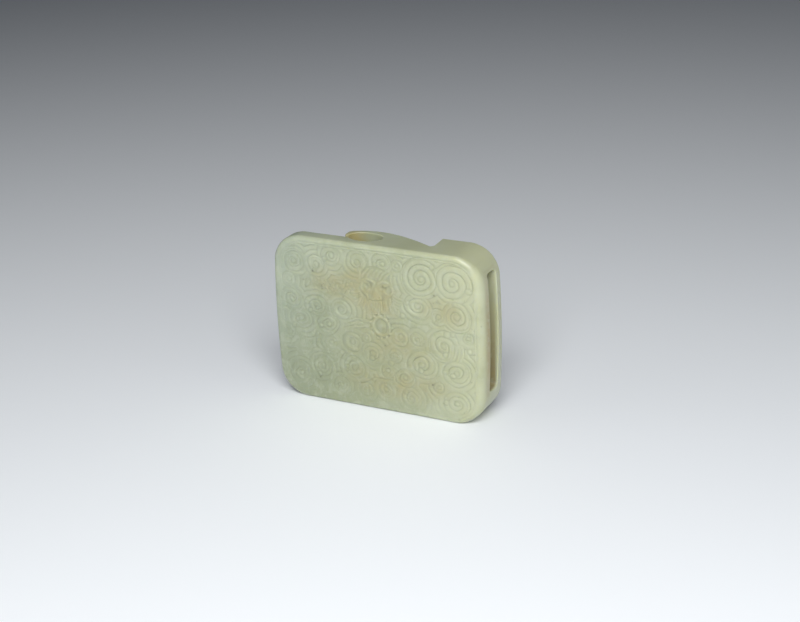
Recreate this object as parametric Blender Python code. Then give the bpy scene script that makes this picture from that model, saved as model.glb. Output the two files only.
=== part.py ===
"""Jade belt buckle, cut from one stone.

A carved front plate carries, on its back, a strap loop at the right and a hook at the left. The hook's
eye and the groove between hook and loop run the full height of the stone.

Metres, +Z up. The carved face looks along -Y and the right side of the carving is at +X. The origin is
at the middle of the underside.
"""
import math
from typing import NamedTuple

import bmesh
import bpy
from mathutils import Matrix

# Outline of the front
WIDTH = 0.0600
HEIGHT = 0.0455
CORNER_RADIUS = 0.0080
SIDE_BOW = 0.0004
FRONT_RIM = 0.0010

# Front plate and strap loop, front to back
PLATE = 0.0042
SLOT_GAP = 0.0050
LOOP_WALL = 0.0032
DEPTH = PLATE + SLOT_GAP + LOOP_WALL

# Strap loop and its slot
LOOP_WIDTH = 0.0159
LOOP_DRAFT = 0.0002
LOOP_CHAMFER = 0.0006
SLOT_LENGTH = 0.0320
SLOT_BOTTOM = 0.0083
SLOT_CORNER = 0.0012

# Hook, measured along the plate from the groove beside the loop
GROOVE_FLAT = 0.0007
GROOVE_FLOOR = PLATE + 0.0011
HOOK_LENGTH = 0.0245
HOOK_CREST = PLATE + 0.0066
CREST_FROM_TIP = 0.0076
TIP_DROP = 0.0023
TIP_ROUND = 0.0006
MOUTH = 0.0013

# The hook's eye and the walls that bound it
EYE_LENGTH = 0.0096
EYE_SINK = 0.0015
EYE_BACK_WALL = 0.0018
EYE_TIP_WALL = 0.0011
EYE_DEPTH = HOOK_CREST - EYE_BACK_WALL - (PLATE - EYE_SINK)

# Border line of the carved face
BORDER_SIDE = 0.0021
BORDER_TOP = 0.0014
BORDER_CUT = 0.00022
BORDER_CORNER = 0.0070
CARVING_MARGIN = 0.4

# Cut of the carving
SCROLL_CUT = 0.00030
FINE_CUT = 0.00020
CUT_TAPER = 0.35
STEPS_PER_TURN = 10

# The carving is drawn on a sheet this wide and high, which is fitted to the face
SHEET_WIDTH = 60.0
SHEET_HEIGHT = 45.5

FRONT = -DEPTH / 2
LEFT = -WIDTH / 2
RIGHT = WIDTH / 2


class Scroll(NamedTuple):
    """A cloud scroll on the sheet: centre, outer radius, turns, angle of its outer end, hand, stretch."""

    x: float
    z: float
    radius: float
    turns: float
    end: float
    hand: int
    stretch: float = 1.0


# Cloud scrolls, row by row. A later scroll lies over the earlier ones.
SCROLLS = (
    # Row under the top border
    Scroll(6.3, 38.4, 2.9, 1.9, 250, 1),
    Scroll(13.0, 38.6, 2.4, 1.6, 250, -1),
    Scroll(17.4, 41.3, 2.7, 1.8, 215, 1),
    Scroll(24.9, 40.6, 3.1, 1.6, -60, -1),
    Scroll(36.2, 40.9, 1.6, 1.2, 100, -1),
    Scroll(32.0, 41.1, 2.9, 1.9, 195, 1),
    Scroll(51.6, 38.2, 5.4, 2.9, -20, -1),
    Scroll(42.8, 38.3, 5.6, 3.3, 45, -1),
    # Row beside the head
    Scroll(4.6, 33.2, 2.1, 1.5, 60, 1),
    Scroll(47.6, 28.7, 2.4, 1.6, 250, 1),
    Scroll(52.6, 29.3, 4.2, 2.6, 100, 1),
    Scroll(41.9, 30.7, 3.3, 2.2, 165, -1, 1.25),
    Scroll(19.8, 26.8, 2.8, 1.9, 330, 1, 1.1),
    Scroll(12.4, 26.9, 2.9, 2.1, 165, 1, 1.2),
    Scroll(5.1, 27.9, 3.4, 2.1, 215, 1),
    # Row of the pearl
    Scroll(15.8, 22.2, 2.9, 1.9, 215, 1, 1.1),
    Scroll(7.6, 22.6, 2.8, 2.0, 225, 1, 1.25),
    Scroll(36.6, 21.6, 2.6, 1.7, -50, -1),
    Scroll(41.5, 21.8, 1.9, 1.5, 270, 1),
    Scroll(48.9, 20.9, 4.4, 2.5, 75, -1),
    Scroll(55.6, 24.0, 1.5, 1.2, 90, 1),
    Scroll(27.0, 19.9, 1.4, 1.2, 90, 1),
    # Row below it
    Scroll(3.3, 18.4, 2.4, 1.7, 15, 1),
    Scroll(16.3, 17.0, 1.9, 1.5, 0, -1),
    Scroll(22.7, 18.2, 3.0, 1.6, 190, 1),
    Scroll(28.7, 15.7, 3.3, 2.0, 20, 1),
    Scroll(35.1, 16.2, 1.9, 1.5, 200, 1),
    Scroll(42.8, 14.9, 4.0, 2.4, 200, 1, 1.1),
    Scroll(52.4, 14.0, 3.7, 2.3, 185, 1, 1.1),
    # Lower rows
    Scroll(13.3, 9.7, 2.8, 1.8, 220, 1),
    Scroll(22.9, 11.0, 3.0, 2.1, 200, 1),
    Scroll(32.8, 11.5, 2.0, 1.6, 190, 1),
    Scroll(37.6, 10.3, 2.7, 1.9, 210, 1),
    Scroll(47.3, 9.3, 1.6, 1.3, 90, 1),
    Scroll(6.6, 6.9, 3.3, 2.0, 210, 1),
    Scroll(18.8, 5.2, 2.4, 1.6, 210, 1),
    Scroll(26.2, 5.2, 2.1, 1.5, 90, 1),
    Scroll(31.9, 6.0, 2.0, 1.4, 90, -1),
    Scroll(39.4, 4.9, 2.9, 1.9, 140, -1),
    Scroll(52.2, 5.4, 3.7, 2.3, 180, -1),
)
SCROLL_HEART = 0.45

# Rounded swellings ringed by a line: centre and radius on the sheet
BEADS = (
    (37.5, 27.6, 0.9), (12.2, 18.9, 0.8), (12.5, 17.0, 0.7), (33.6, 13.9, 0.9),
    (15.4, 14.2, 0.6), (17.0, 14.0, 0.6), (51.2, 24.6, 0.8), (56.0, 20.6, 0.8),
)

# The dragon's head, seen from the front, on the sheet
HEAD_X = 30.3
HEAD_Z = 34.0
HEAD_HALF_WIDTH = 5.4
HEAD_HALF_HEIGHT = 4.9
EYE_APART = 2.1
EYE_RISE = 0.6
EYE_PIT = 0.8
SNOUT_TOP = 0.6
SNOUT_FOOT = 1.9
SNOUT_LENGTH = 2.6
NOSTRIL_PIT = 0.4
BEARD_HAIRS = 6
MANE_HAIRS = 3
MANE_LOWEST = -20
MANE_SPREAD = 14
MANE_ROOT = 2.6
MANE_LENGTH = 1.6

# The scaled body, left of the head
BODY_LEFT = 10.6
BODY_RIGHT = 24.4
BODY_Z = 33.1
BODY_WAVE = 0.7
BODY_HALF = 1.75
SCALE_RADIUS = 0.62
SCALE_ROWS = 3

# The pearl and its flames
PEARL_X = 31.3
PEARL_Z = 23.8
PEARL_RADIUS = 1.35
PEARL_RING = 2.1
PEARL_FLAMES = 9
FLAME_LENGTH = 1.1
FLAME_LEAN = 0.3

# Plume at the left and leaf blades in the middle
PLUME_BARBS = 6
LEAF_BLADES = 3

JADE = (0.50, 0.53, 0.36, 1.0)


def remove_everything():
    """Empty the scene of objects."""
    for thing in list(bpy.data.objects):
        bpy.data.objects.remove(thing, do_unlink=True)


def new_collection(name):
    """Return a new collection in the scene."""
    collection = bpy.data.collections.new(name)
    bpy.context.scene.collection.children.link(collection)
    return collection


def jade():
    """Return the pale celadon of the stone, polished."""
    material = bpy.data.materials.new("celadon_jade")
    material.use_nodes = True
    shader = material.node_tree.nodes["Principled BSDF"]
    shader.inputs["Base Color"].default_value = JADE
    shader.inputs["Roughness"].default_value = 0.30
    shader.inputs["Metallic"].default_value = 0.0
    return material


def arc(x, y, radius, start, stop, steps, other=None):
    """Return points on an arc, or on an ellipse's where the other radius is given, in degrees."""
    tall = radius if other is None else other
    angles = [math.radians(start + (stop - start) * i / steps) for i in range(steps + 1)]
    return [(x + radius * math.cos(a), y + tall * math.sin(a)) for a in angles]


def curve_mesh(name, curve, placed, collection):
    """Turn a curve's data into a closed mesh object that keeps its place."""
    drawn = bpy.data.objects.new(name + "_drawn", curve)
    drawn.matrix_world = placed
    collection.objects.link(drawn)
    bpy.context.view_layer.update()
    seen = drawn.evaluated_get(bpy.context.evaluated_depsgraph_get())
    mesh = bpy.data.meshes.new_from_object(seen)
    mesh.name = name
    solid = bmesh.new()
    solid.from_mesh(mesh)
    bmesh.ops.remove_doubles(solid, verts=solid.verts, dist=1e-6)
    bmesh.ops.recalc_face_normals(solid, faces=solid.faces)
    solid.to_mesh(mesh)
    solid.free()
    thing = bpy.data.objects.new(name, mesh)
    collection.objects.link(thing)
    thing.matrix_world = placed
    bpy.data.objects.remove(drawn, do_unlink=True)
    bpy.data.curves.remove(curve)
    return thing


def prism(name, outline, thickness, rim, placed, collection):
    """Extrude a closed outline to a thickness, with its rims rounded inside that thickness."""
    curve = bpy.data.curves.new(name + "_outline", "CURVE")
    curve.dimensions = "2D"
    curve.fill_mode = "BOTH"
    curve.extrude = thickness / 2 - rim
    curve.bevel_depth = rim
    curve.bevel_resolution = 2
    curve.offset = -rim
    spline = curve.splines.new("POLY")
    spline.points.add(len(outline) - 1)
    for point, (x, y) in zip(spline.points, outline):
        point.co = (x, y, 0.0, 1.0)
    spline.use_cyclic_u = True
    return curve_mesh(name, curve, placed, collection)


def cut_line(name, points, cut, cyclic, collection):
    """Make a V-shaped cutter along a line on the front face, thinner towards open ends."""
    curve = bpy.data.curves.new(name + "_path", "CURVE")
    curve.dimensions = "3D"
    curve.fill_mode = "FULL"
    curve.twist_mode = "Z_UP"
    curve.bevel_depth = cut
    curve.bevel_resolution = 0
    curve.use_fill_caps = True
    spline = curve.splines.new("POLY")
    spline.points.add(len(points) - 1)
    for point, (x, z) in zip(spline.points, points):
        point.co = (x, z, 0.0, 1.0)
    spline.use_cyclic_u = cyclic
    if not cyclic:
        spline.points[0].radius = CUT_TAPER
        spline.points[-1].radius = CUT_TAPER
    placed = Matrix.Translation((0.0, FRONT, 0.0)) @ Matrix.Rotation(math.radians(90), 4, "X")
    return curve_mesh(name, curve, placed, collection)


def hide(cutter):
    """Show a cutter as wire and keep it out of renders."""
    cutter.hide_render = True
    cutter.display_type = "WIRE"


def boolean(body, label, operation, cutter):
    """Join or cut the body with one object, or with every object of a collection."""
    modifier = body.modifiers.new(label, "BOOLEAN")
    modifier.operation = operation
    modifier.solver = "EXACT"
    if isinstance(cutter, bpy.types.Collection):
        modifier.operand_type = "COLLECTION"
        modifier.collection = cutter
        return
    modifier.object = cutter


def split_faces(body):
    """Split the faces into well-shaped triangles."""
    split = body.modifiers.new("split", "TRIANGULATE")
    split.quad_method = "BEAUTY"
    split.ngon_method = "BEAUTY"


def face_outline(half_width, half_height, radius, bow, corner_steps, side_steps):
    """Return a rounded rectangle about the origin, whose upright sides swell by bow."""
    straight = half_height - radius
    points = []
    for turn, (across, up) in enumerate(((1, 1), (-1, 1), (-1, -1), (1, -1))):
        x = across * (half_width - bow - radius)
        points += arc(x, up * straight, radius, 90 * turn, 90 * turn + 90, corner_steps)
        if turn % 2 == 0:
            continue
        for step in range(1, side_steps):
            share = 1 - 2 * step / side_steps
            points.append((across * (half_width - bow * share ** 2), up * straight * share))
    return points


def blank(collection):
    """Make the block with the front's outline, standing, from the front face to the back."""
    outline = face_outline(WIDTH / 2, HEIGHT / 2, CORNER_RADIUS, SIDE_BOW, 10, 8)
    placed = Matrix.Translation((0.0, 0.0, HEIGHT / 2)) @ Matrix.Rotation(math.radians(90), 4, "X")
    return prism("jade_belt_buckle", outline, DEPTH, FRONT_RIM, placed, collection)


def hook_back(distance):
    """Return the height of the hook's back above the front face, at a distance from its tip."""
    if distance < CREST_FROM_TIP:
        return HOOK_CREST - TIP_DROP * (1 - distance / CREST_FROM_TIP) ** 2
    share = (distance - CREST_FROM_TIP) / (HOOK_LENGTH - CREST_FROM_TIP)
    return GROOVE_FLOOR + (HOOK_CREST - GROOVE_FLOOR) * math.cos(share * math.pi / 2)


def plan_outline():
    """Return the outline from above: plate, loop, groove, hook with its eye, as x and height off the face."""
    beyond = WIDTH / 2 + CORNER_RADIUS
    chamfer = LOOP_CHAMFER + CORNER_RADIUS
    loop_left = RIGHT - LOOP_WIDTH
    groove = loop_left - GROOVE_FLAT
    tip = groove - HOOK_LENGTH
    eye_x = tip + EYE_TIP_WALL + EYE_LENGTH / 2
    eye_y = PLATE - EYE_SINK + EYE_DEPTH / 2
    lip = PLATE + MOUTH
    points = [(-beyond, -CORNER_RADIUS), (beyond, -CORNER_RADIUS), (beyond, DEPTH + CORNER_RADIUS)]
    points += [(loop_left - LOOP_DRAFT + chamfer, DEPTH + CORNER_RADIUS)]
    points += [(loop_left - LOOP_DRAFT, DEPTH - LOOP_CHAMFER), (loop_left, GROOVE_FLOOR + GROOVE_FLAT)]
    for step in range(12, 0, -1):
        distance = HOOK_LENGTH * step / 12
        points.append((tip + distance, hook_back(distance)))
    points += arc(tip + TIP_ROUND, hook_back(0.0) - TIP_ROUND, TIP_ROUND, 110, 180, 2)
    points += arc(tip + TIP_ROUND, lip + TIP_ROUND, TIP_ROUND, 180, 270, 3)
    lip_angle = 180 - math.degrees(math.asin((lip - eye_y) / (EYE_DEPTH / 2)))
    floor_angle = -180 + math.degrees(math.asin((eye_y - PLATE) / (EYE_DEPTH / 2)))
    points += arc(eye_x, eye_y, EYE_LENGTH / 2, lip_angle, floor_angle, 22, EYE_DEPTH / 2)
    points += [(-beyond, PLATE)]
    return points


def plan_prism(collection):
    """Make the upright prism whose plan is the buckle's, which cuts the blank to shape."""
    placed = Matrix.Translation((0.0, FRONT, HEIGHT / 2))
    return prism("plan_prism", plan_outline(), HEIGHT + 2 * CORNER_RADIUS, 0.0, placed, collection)


def strap_slot(collection):
    """Make the cutter for the strap slot, from the right side into the groove, where it ramps out."""
    outline = face_outline(SLOT_GAP / 2, SLOT_LENGTH / 2, SLOT_CORNER, 0.0, 4, 1)
    groove = RIGHT - LOOP_WIDTH - GROOVE_FLAT
    beyond = RIGHT + CORNER_RADIUS
    middle = ((groove + beyond) / 2, FRONT + PLATE + SLOT_GAP / 2, SLOT_BOTTOM + SLOT_LENGTH / 2)
    turned = Matrix(((0, 0, 1, 0), (1, 0, 0, 0), (0, 1, 0, 0), (0, 0, 0, 1)))
    upright = Matrix.Translation(middle) @ turned
    cutter = prism("strap_slot", outline, beyond - groove, 0.0, upright, collection)
    for vertex in cutter.data.vertices:
        if vertex.co.z < 0:
            vertex.co.z -= vertex.co.x + SLOT_GAP / 2
    return cutter


def on_face(points):
    """Fit points of the drawing sheet to the front face."""
    wide = WIDTH / SHEET_WIDTH
    high = HEIGHT / SHEET_HEIGHT
    return [(LEFT + x * wide, z * high) for x, z in points]


def spiral(scroll):
    """Return the line of a scroll, from its heart to its outer end."""
    steps = max(8, round(scroll.turns * STEPS_PER_TURN))
    points = []
    for step in range(steps + 1):
        share = step / steps
        radius = SCROLL_HEART + (scroll.radius - SCROLL_HEART) * share
        angle = math.radians(scroll.end - scroll.hand * 360 * scroll.turns * (1 - share))
        across = scroll.stretch * radius * math.cos(angle)
        points.append((scroll.x + across, scroll.z + radius * math.sin(angle)))
    return points


def bent(x0, z0, x1, z1, bulge, steps=3):
    """Return a line between two points that swells to its left by bulge times its length."""
    points = []
    for step in range(steps + 1):
        share = step / steps
        out = bulge * 4 * share * (1 - share)
        points.append((x0 + (x1 - x0) * share - (z1 - z0) * out, z0 + (z1 - z0) * share + (x1 - x0) * out))
    return points


def inside(point, cover):
    """Tell whether a point lies in an ellipse given by its centre and half sizes."""
    x, z, half_width, half_height = cover
    return ((point[0] - x) / half_width) ** 2 + ((point[1] - z) / half_height) ** 2 < 1


def on_sheet(point):
    """Tell whether a point lies within the border line, its rounded corners too."""
    x, z = point
    side = min(x, SHEET_WIDTH - x) - BORDER_SIDE / WIDTH * SHEET_WIDTH - CARVING_MARGIN
    top = min(z, SHEET_HEIGHT - z) - BORDER_TOP / HEIGHT * SHEET_HEIGHT - CARVING_MARGIN
    corner = BORDER_CORNER / HEIGHT * SHEET_HEIGHT - CARVING_MARGIN
    if side < corner and top < corner:
        return math.hypot(corner - side, corner - top) < corner
    return side > 0 and top > 0


def uncovered(points, covers):
    """Split a line into the runs that no cover hides."""
    runs = [[]]
    for point in points:
        if on_sheet(point) and not any(inside(point, cover) for cover in covers):
            runs[-1].append(point)
        elif runs[-1]:
            runs.append([])
    return [run for run in runs if len(run) > 2]


def figure_covers():
    """Return the ellipses of the head, the body and the pearl, which lie over every scroll."""
    body_middle = (BODY_LEFT + BODY_RIGHT) / 2
    body_half = (BODY_RIGHT - BODY_LEFT) / 2
    pearl = PEARL_RING + FLAME_LENGTH
    return [
        (HEAD_X, HEAD_Z, HEAD_HALF_WIDTH, HEAD_HALF_HEIGHT),
        (HEAD_X, HEAD_Z - HEAD_HALF_HEIGHT, HEAD_HALF_WIDTH - 0.4, 2.6),
        (body_middle, BODY_Z, body_half + 0.9, BODY_HALF + BODY_WAVE + 0.9),
        (PEARL_X, PEARL_Z, pearl + 0.3, pearl + 0.3),
    ]


def scroll_lines():
    """Return the lines of every scroll, without what later scrolls and the figures hide."""
    lines = []
    for number, scroll in enumerate(SCROLLS):
        covers = figure_covers()
        for over in SCROLLS[number + 1:]:
            covers.append((over.x, over.z, over.radius * over.stretch + 0.3, over.radius + 0.3))
        lines += uncovered(spiral(scroll), covers)
    return lines


def head_lines():
    """Return the lines of the dragon's head: crown, brows, horns, snout, cheeks and beard."""
    x, z = HEAD_X, HEAD_Z
    lines = [arc(x, z + 1.2, 4.0, 30, 150, 7, 3.2)]
    foot = z - SNOUT_LENGTH
    for side in (-1, 1):
        lines.append(bent(x + side * 0.6, z + 1.5, x + side * 3.6, z + 1.9, side * 0.18))
        lines.append(bent(x + side * 4.6, z + 0.6, x + side * 4.9, z + 4.6, side * 0.05))
        lines.append(bent(x + side * SNOUT_TOP, z, x + side * SNOUT_FOOT, foot, side * -0.08))
        lines.append(bent(x + side * 3.5, z - 0.5, x + side * 2.7, foot + 0.2, side * 0.15))
    lines.append(bent(x + SNOUT_FOOT - 0.3, foot - 0.6, x - SNOUT_FOOT + 0.3, foot - 0.6, -0.15))
    for hair in range(BEARD_HAIRS):
        share = 2 * hair / (BEARD_HAIRS - 1) - 1
        lines.append(bent(x + 3.9 * share, foot - 1.3, x + 4.6 * share, foot - 3.0, 0.05 * share, 2))
    for hair in range(MANE_HAIRS):
        angle = math.radians(MANE_LOWEST + MANE_SPREAD * hair)
        for side in (-1, 1):
            across = math.cos(angle) * side
            up = math.sin(angle)
            start = (x + side * 1.6 + MANE_ROOT * across, foot - 1.0 + MANE_ROOT * up)
            stop = (start[0] + MANE_LENGTH * across, start[1] + MANE_LENGTH * up)
            lines.append(bent(*start, *stop, side * 0.1, 2))
    return lines


def body_line(x):
    """Return the height of the body's middle at a place along it."""
    share = (x - BODY_LEFT) / (BODY_RIGHT - BODY_LEFT)
    return BODY_Z + BODY_WAVE * math.cos(share * 2 * math.pi)


def body_lines():
    """Return the body's two edges and its rows of scales."""
    lines = []
    for side in (-1, 1):
        steps = 8
        along = [BODY_LEFT + (BODY_RIGHT - BODY_LEFT) * step / steps for step in range(steps + 1)]
        lines.append([(x, body_line(x) + side * BODY_HALF) for x in along])
    pitch = SCALE_RADIUS * 2.3
    columns = int((BODY_RIGHT - BODY_LEFT - 1.2) / pitch)
    for column in range(columns):
        for row in range(SCALE_ROWS):
            x = BODY_LEFT + 1.0 + pitch * (column + 0.5 * (row % 2))
            z = body_line(x) + (row - (SCALE_ROWS - 1) / 2) * SCALE_RADIUS * 1.75
            lines.append(arc(x, z, SCALE_RADIUS, 100, 260, 3))
    return lines


def pearl_lines():
    """Return the pearl's ring of flames."""
    lines = []
    far = PEARL_RING + FLAME_LENGTH
    for flame in range(PEARL_FLAMES):
        angle = math.radians(360 * flame / PEARL_FLAMES + 15)
        leaning = angle + FLAME_LEAN
        start = (PEARL_X + PEARL_RING * math.cos(angle), PEARL_Z + PEARL_RING * math.sin(angle))
        stop = (PEARL_X + far * math.cos(leaning), PEARL_Z + far * math.sin(leaning))
        lines.append(bent(*start, *stop, 0.12, 2))
    return lines


def leaf_lines():
    """Return the plume's barbs, the leaf blades and the arcs over the corner scroll."""
    lines = []
    for barb in range(PLUME_BARBS):
        share = barb / (PLUME_BARBS - 1)
        root = (5.6 + 1.9 * share, 12.0 + 0.6 * share)
        end = (6.7 + 3.6 * share, 17.6 - 2.4 * share)
        lines.append(bent(*root, *end, -0.12))
    for blade in range(LEAF_BLADES):
        lines.append(bent(21.6, 22.3 + 0.9 * blade, 25.6, 22.9 + 1.0 * blade, 0.08))
    first = SCROLLS[0]
    for ring in (1, 2):
        lines.append(arc(first.x, first.z, first.radius + ring * 1.0, 45, 195, 8))
    return lines


def rings():
    """Return the closed rings round the beads and round the pearl, with their radii."""
    return list(BEADS) + [(PEARL_X, PEARL_Z, PEARL_RADIUS), (PEARL_X, PEARL_Z, PEARL_RING)]


def pits(collection):
    """Make the cutters for the eyes and the nostrils."""
    scale = HEIGHT / SHEET_HEIGHT
    for side in (-1, 1):
        eye = (HEAD_X + side * EYE_APART, HEAD_Z + EYE_RISE, EYE_PIT)
        nostril = (HEAD_X + side * SNOUT_FOOT / 2, HEAD_Z - SNOUT_LENGTH + 0.1, NOSTRIL_PIT)
        for label, (x, z, radius) in (("eye_pit", eye), ("nostril_pit", nostril)):
            (place,) = on_face([(x, z)])
            ball = bmesh.new()
            bmesh.ops.create_icosphere(ball, subdivisions=2, radius=radius * scale)
            mesh = bpy.data.meshes.new(label)
            ball.to_mesh(mesh)
            ball.free()
            cutter = bpy.data.objects.new(label, mesh)
            cutter.location = (place[0], FRONT - radius * scale * 0.55, place[1])
            collection.objects.link(cutter)


def border_line(collection):
    """Make the cutter of the single line inside the front's edge."""
    half_width = WIDTH / 2 - BORDER_SIDE
    half_height = HEIGHT / 2 - BORDER_TOP
    outline = face_outline(half_width, half_height, BORDER_CORNER, SIDE_BOW, 8, 4)
    points = [(x, z + HEIGHT / 2) for x, z in outline]
    cut_line("border_line", points, BORDER_CUT, True, collection)


def carving(collection):
    """Make a cutter for every line of the carving."""
    border_line(collection)
    for number, line in enumerate(scroll_lines()):
        cut_line(f"scroll_{number:02d}", on_face(line), SCROLL_CUT, False, collection)
    fine = head_lines() + body_lines() + pearl_lines() + leaf_lines()
    for number, line in enumerate(fine):
        cut_line(f"figure_{number:02d}", on_face(line), FINE_CUT, False, collection)
    for number, (x, z, radius) in enumerate(rings()):
        ring = arc(x, z, radius, 0, 360, 8)[:-1]
        cut_line(f"ring_{number:02d}", on_face(ring), FINE_CUT, True, collection)
    pits(collection)


def main():
    """Build the buckle."""
    remove_everything()
    stone = new_collection("jade_belt_buckle")
    cutters = new_collection("cutters")
    lines = new_collection("carving_lines")
    body = blank(stone)
    boolean(body, "plan", "INTERSECT", plan_prism(cutters))
    boolean(body, "strap_slot", "DIFFERENCE", strap_slot(cutters))
    carving(lines)
    boolean(body, "carving", "DIFFERENCE", lines)
    split_faces(body)
    for cutter in list(cutters.objects) + list(lines.objects):
        hide(cutter)
    body.data.materials.append(jade())


main()
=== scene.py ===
"""Looks of the jade belt buckle: one stone with a carved front, a strap loop and a hook with an eye.

The carving is drawn on a sheet in millimetres, 60 wide and 45.5 high, with its corner at the lower left of
the front. Everything else is in metres, in the frame of the solid: +Z up, the carved face looking along -Y.
"""

import logging
import math
from dataclasses import dataclass, field
from enum import Enum

import bmesh
import bpy
import numpy as np
from mathutils import Matrix, Vector
from mathutils.geometry import intersect_point_line
from mathutils.kdtree import KDTree

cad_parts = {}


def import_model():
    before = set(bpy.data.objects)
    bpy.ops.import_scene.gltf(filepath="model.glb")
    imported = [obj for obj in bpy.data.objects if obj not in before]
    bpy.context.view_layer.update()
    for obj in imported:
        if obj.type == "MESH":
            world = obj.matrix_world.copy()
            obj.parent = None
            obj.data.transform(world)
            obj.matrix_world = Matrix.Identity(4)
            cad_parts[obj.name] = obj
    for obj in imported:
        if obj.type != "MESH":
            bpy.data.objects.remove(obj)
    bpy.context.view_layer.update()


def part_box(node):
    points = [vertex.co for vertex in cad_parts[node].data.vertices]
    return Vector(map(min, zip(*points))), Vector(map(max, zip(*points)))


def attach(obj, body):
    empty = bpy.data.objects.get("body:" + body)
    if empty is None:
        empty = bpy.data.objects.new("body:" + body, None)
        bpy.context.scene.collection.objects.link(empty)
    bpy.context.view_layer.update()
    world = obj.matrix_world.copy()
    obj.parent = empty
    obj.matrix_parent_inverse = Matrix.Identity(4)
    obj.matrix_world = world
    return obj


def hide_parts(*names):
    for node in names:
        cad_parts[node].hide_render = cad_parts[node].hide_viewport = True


LOG = logging.getLogger("jade_belt_buckle")
NODE = "jade_belt_buckle"
MM = 0.001

Points = list[tuple[float, float]]
Place = tuple[float, float, float]
Places = tuple[Place, ...]
Blots = tuple[tuple[Place, Place, float], ...]

# Points nearer to each other than CLOSE are one point, and points within LEVEL of a flat lie on it.
CLOSE = 2e-6
LEVEL = 1e-6


def smooth_step(share: np.ndarray) -> np.ndarray:
    """Return a soft 0 to 1 ramp for shares from 0 to 1."""
    held = np.clip(share, 0.0, 1.0)
    return held * held * (3.0 - 2.0 * held)


def fade(value: np.ndarray, least: float, start: float, run: float) -> np.ndarray:
    """Return a share that grows softly from a least value at a start to 1 after a run."""
    return least + (1.0 - least) * smooth_step((value - start) / run)


def wander(x: np.ndarray, z: np.ndarray, pitch: float, start: float) -> np.ndarray:
    """Return a smooth, uneven drift over the sheet, as a hand that cuts stone leaves it.

    Args:
        x: places across the sheet.
        z: places up the sheet.
        pitch: rough distance from one swell to the next.
        start: a number that makes one drift unlike another.

    Returns:
        Values that mostly lie between -1 and 1.
    """
    drift = np.zeros(x.shape)
    waves = 5
    for wave in range(waves):
        angle = start + 2.4 * wave
        length = pitch * (0.75 + 0.2 * wave)
        along = (x * math.cos(angle) + z * math.sin(angle)) * 2 * math.pi / length
        drift += np.sin(along + 1.7 * start * (wave + 1))
    return drift / math.sqrt(2.0 * waves)


def arc(
    x: float, z: float, radius: float, start: float, stop: float, steps: int, tall: float = 0.0
) -> Points:
    """Return points on an arc.

    Args:
        x: centre, across.
        z: centre, up.
        radius: radius, or half width where tall is given.
        start: first angle in degrees.
        stop: last angle in degrees.
        steps: number of steps.
        tall: half height, or 0 for a round arc.

    Returns:
        The points, first to last.
    """
    angles = [math.radians(start + (stop - start) * i / steps) for i in range(steps + 1)]
    return [(x + radius * math.cos(a), z + (tall or radius) * math.sin(a)) for a in angles]


def bent(x0: float, z0: float, x1: float, z1: float, bulge: float, steps: int = 6) -> Points:
    """Return a line between two points that swells to its left.

    Args:
        x0: first point, across.
        z0: first point, up.
        x1: last point, across.
        z1: last point, up.
        bulge: swell at the middle, as a share of the length.
        steps: number of steps.

    Returns:
        The points, first to last.
    """
    points = []
    for step in range(steps + 1):
        share = step / steps
        out = bulge * 4 * share * (1 - share)
        points.append((x0 + (x1 - x0) * share - (z1 - z0) * out, z0 + (z1 - z0) * share + (x1 - x0) * out))
    return points


@dataclass(frozen=True)
class CloudScroll:
    """A cloud scroll on the sheet: its line winds from the heart out to an angle, by its hand."""

    x: float
    z: float
    radius: float
    turns: float
    end: float
    hand: int
    stretch: float = 1.0
    heart: float = 0.45

    @property
    def pitch(self) -> float:
        """Return the distance from one turn of the line to the next."""
        return (self.radius - self.heart) / self.turns

    def polar(self, x: np.ndarray, z: np.ndarray) -> tuple[np.ndarray, np.ndarray]:
        """Return the distance from the heart and the share of a turn back from the scroll's end.

        Args:
            x: places across the sheet.
            z: places up the sheet.

        Returns:
            Distances, and shares of a turn from 0 to 1.
        """
        across = (x - self.x) / self.stretch
        up = z - self.z
        back = self.hand * (self.end - np.degrees(np.arctan2(up, across))) / 360.0
        return np.hypot(across, up), back - np.floor(back)

    def end_place(self) -> tuple[float, float]:
        """Return where the outer turn's ridge ends.

        Returns:
            The place on the sheet, across and up.
        """
        reach = self.radius - self.pitch / 2
        angle = math.radians(self.end)
        return self.x + self.stretch * reach * math.cos(angle), self.z + reach * math.sin(angle)


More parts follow.
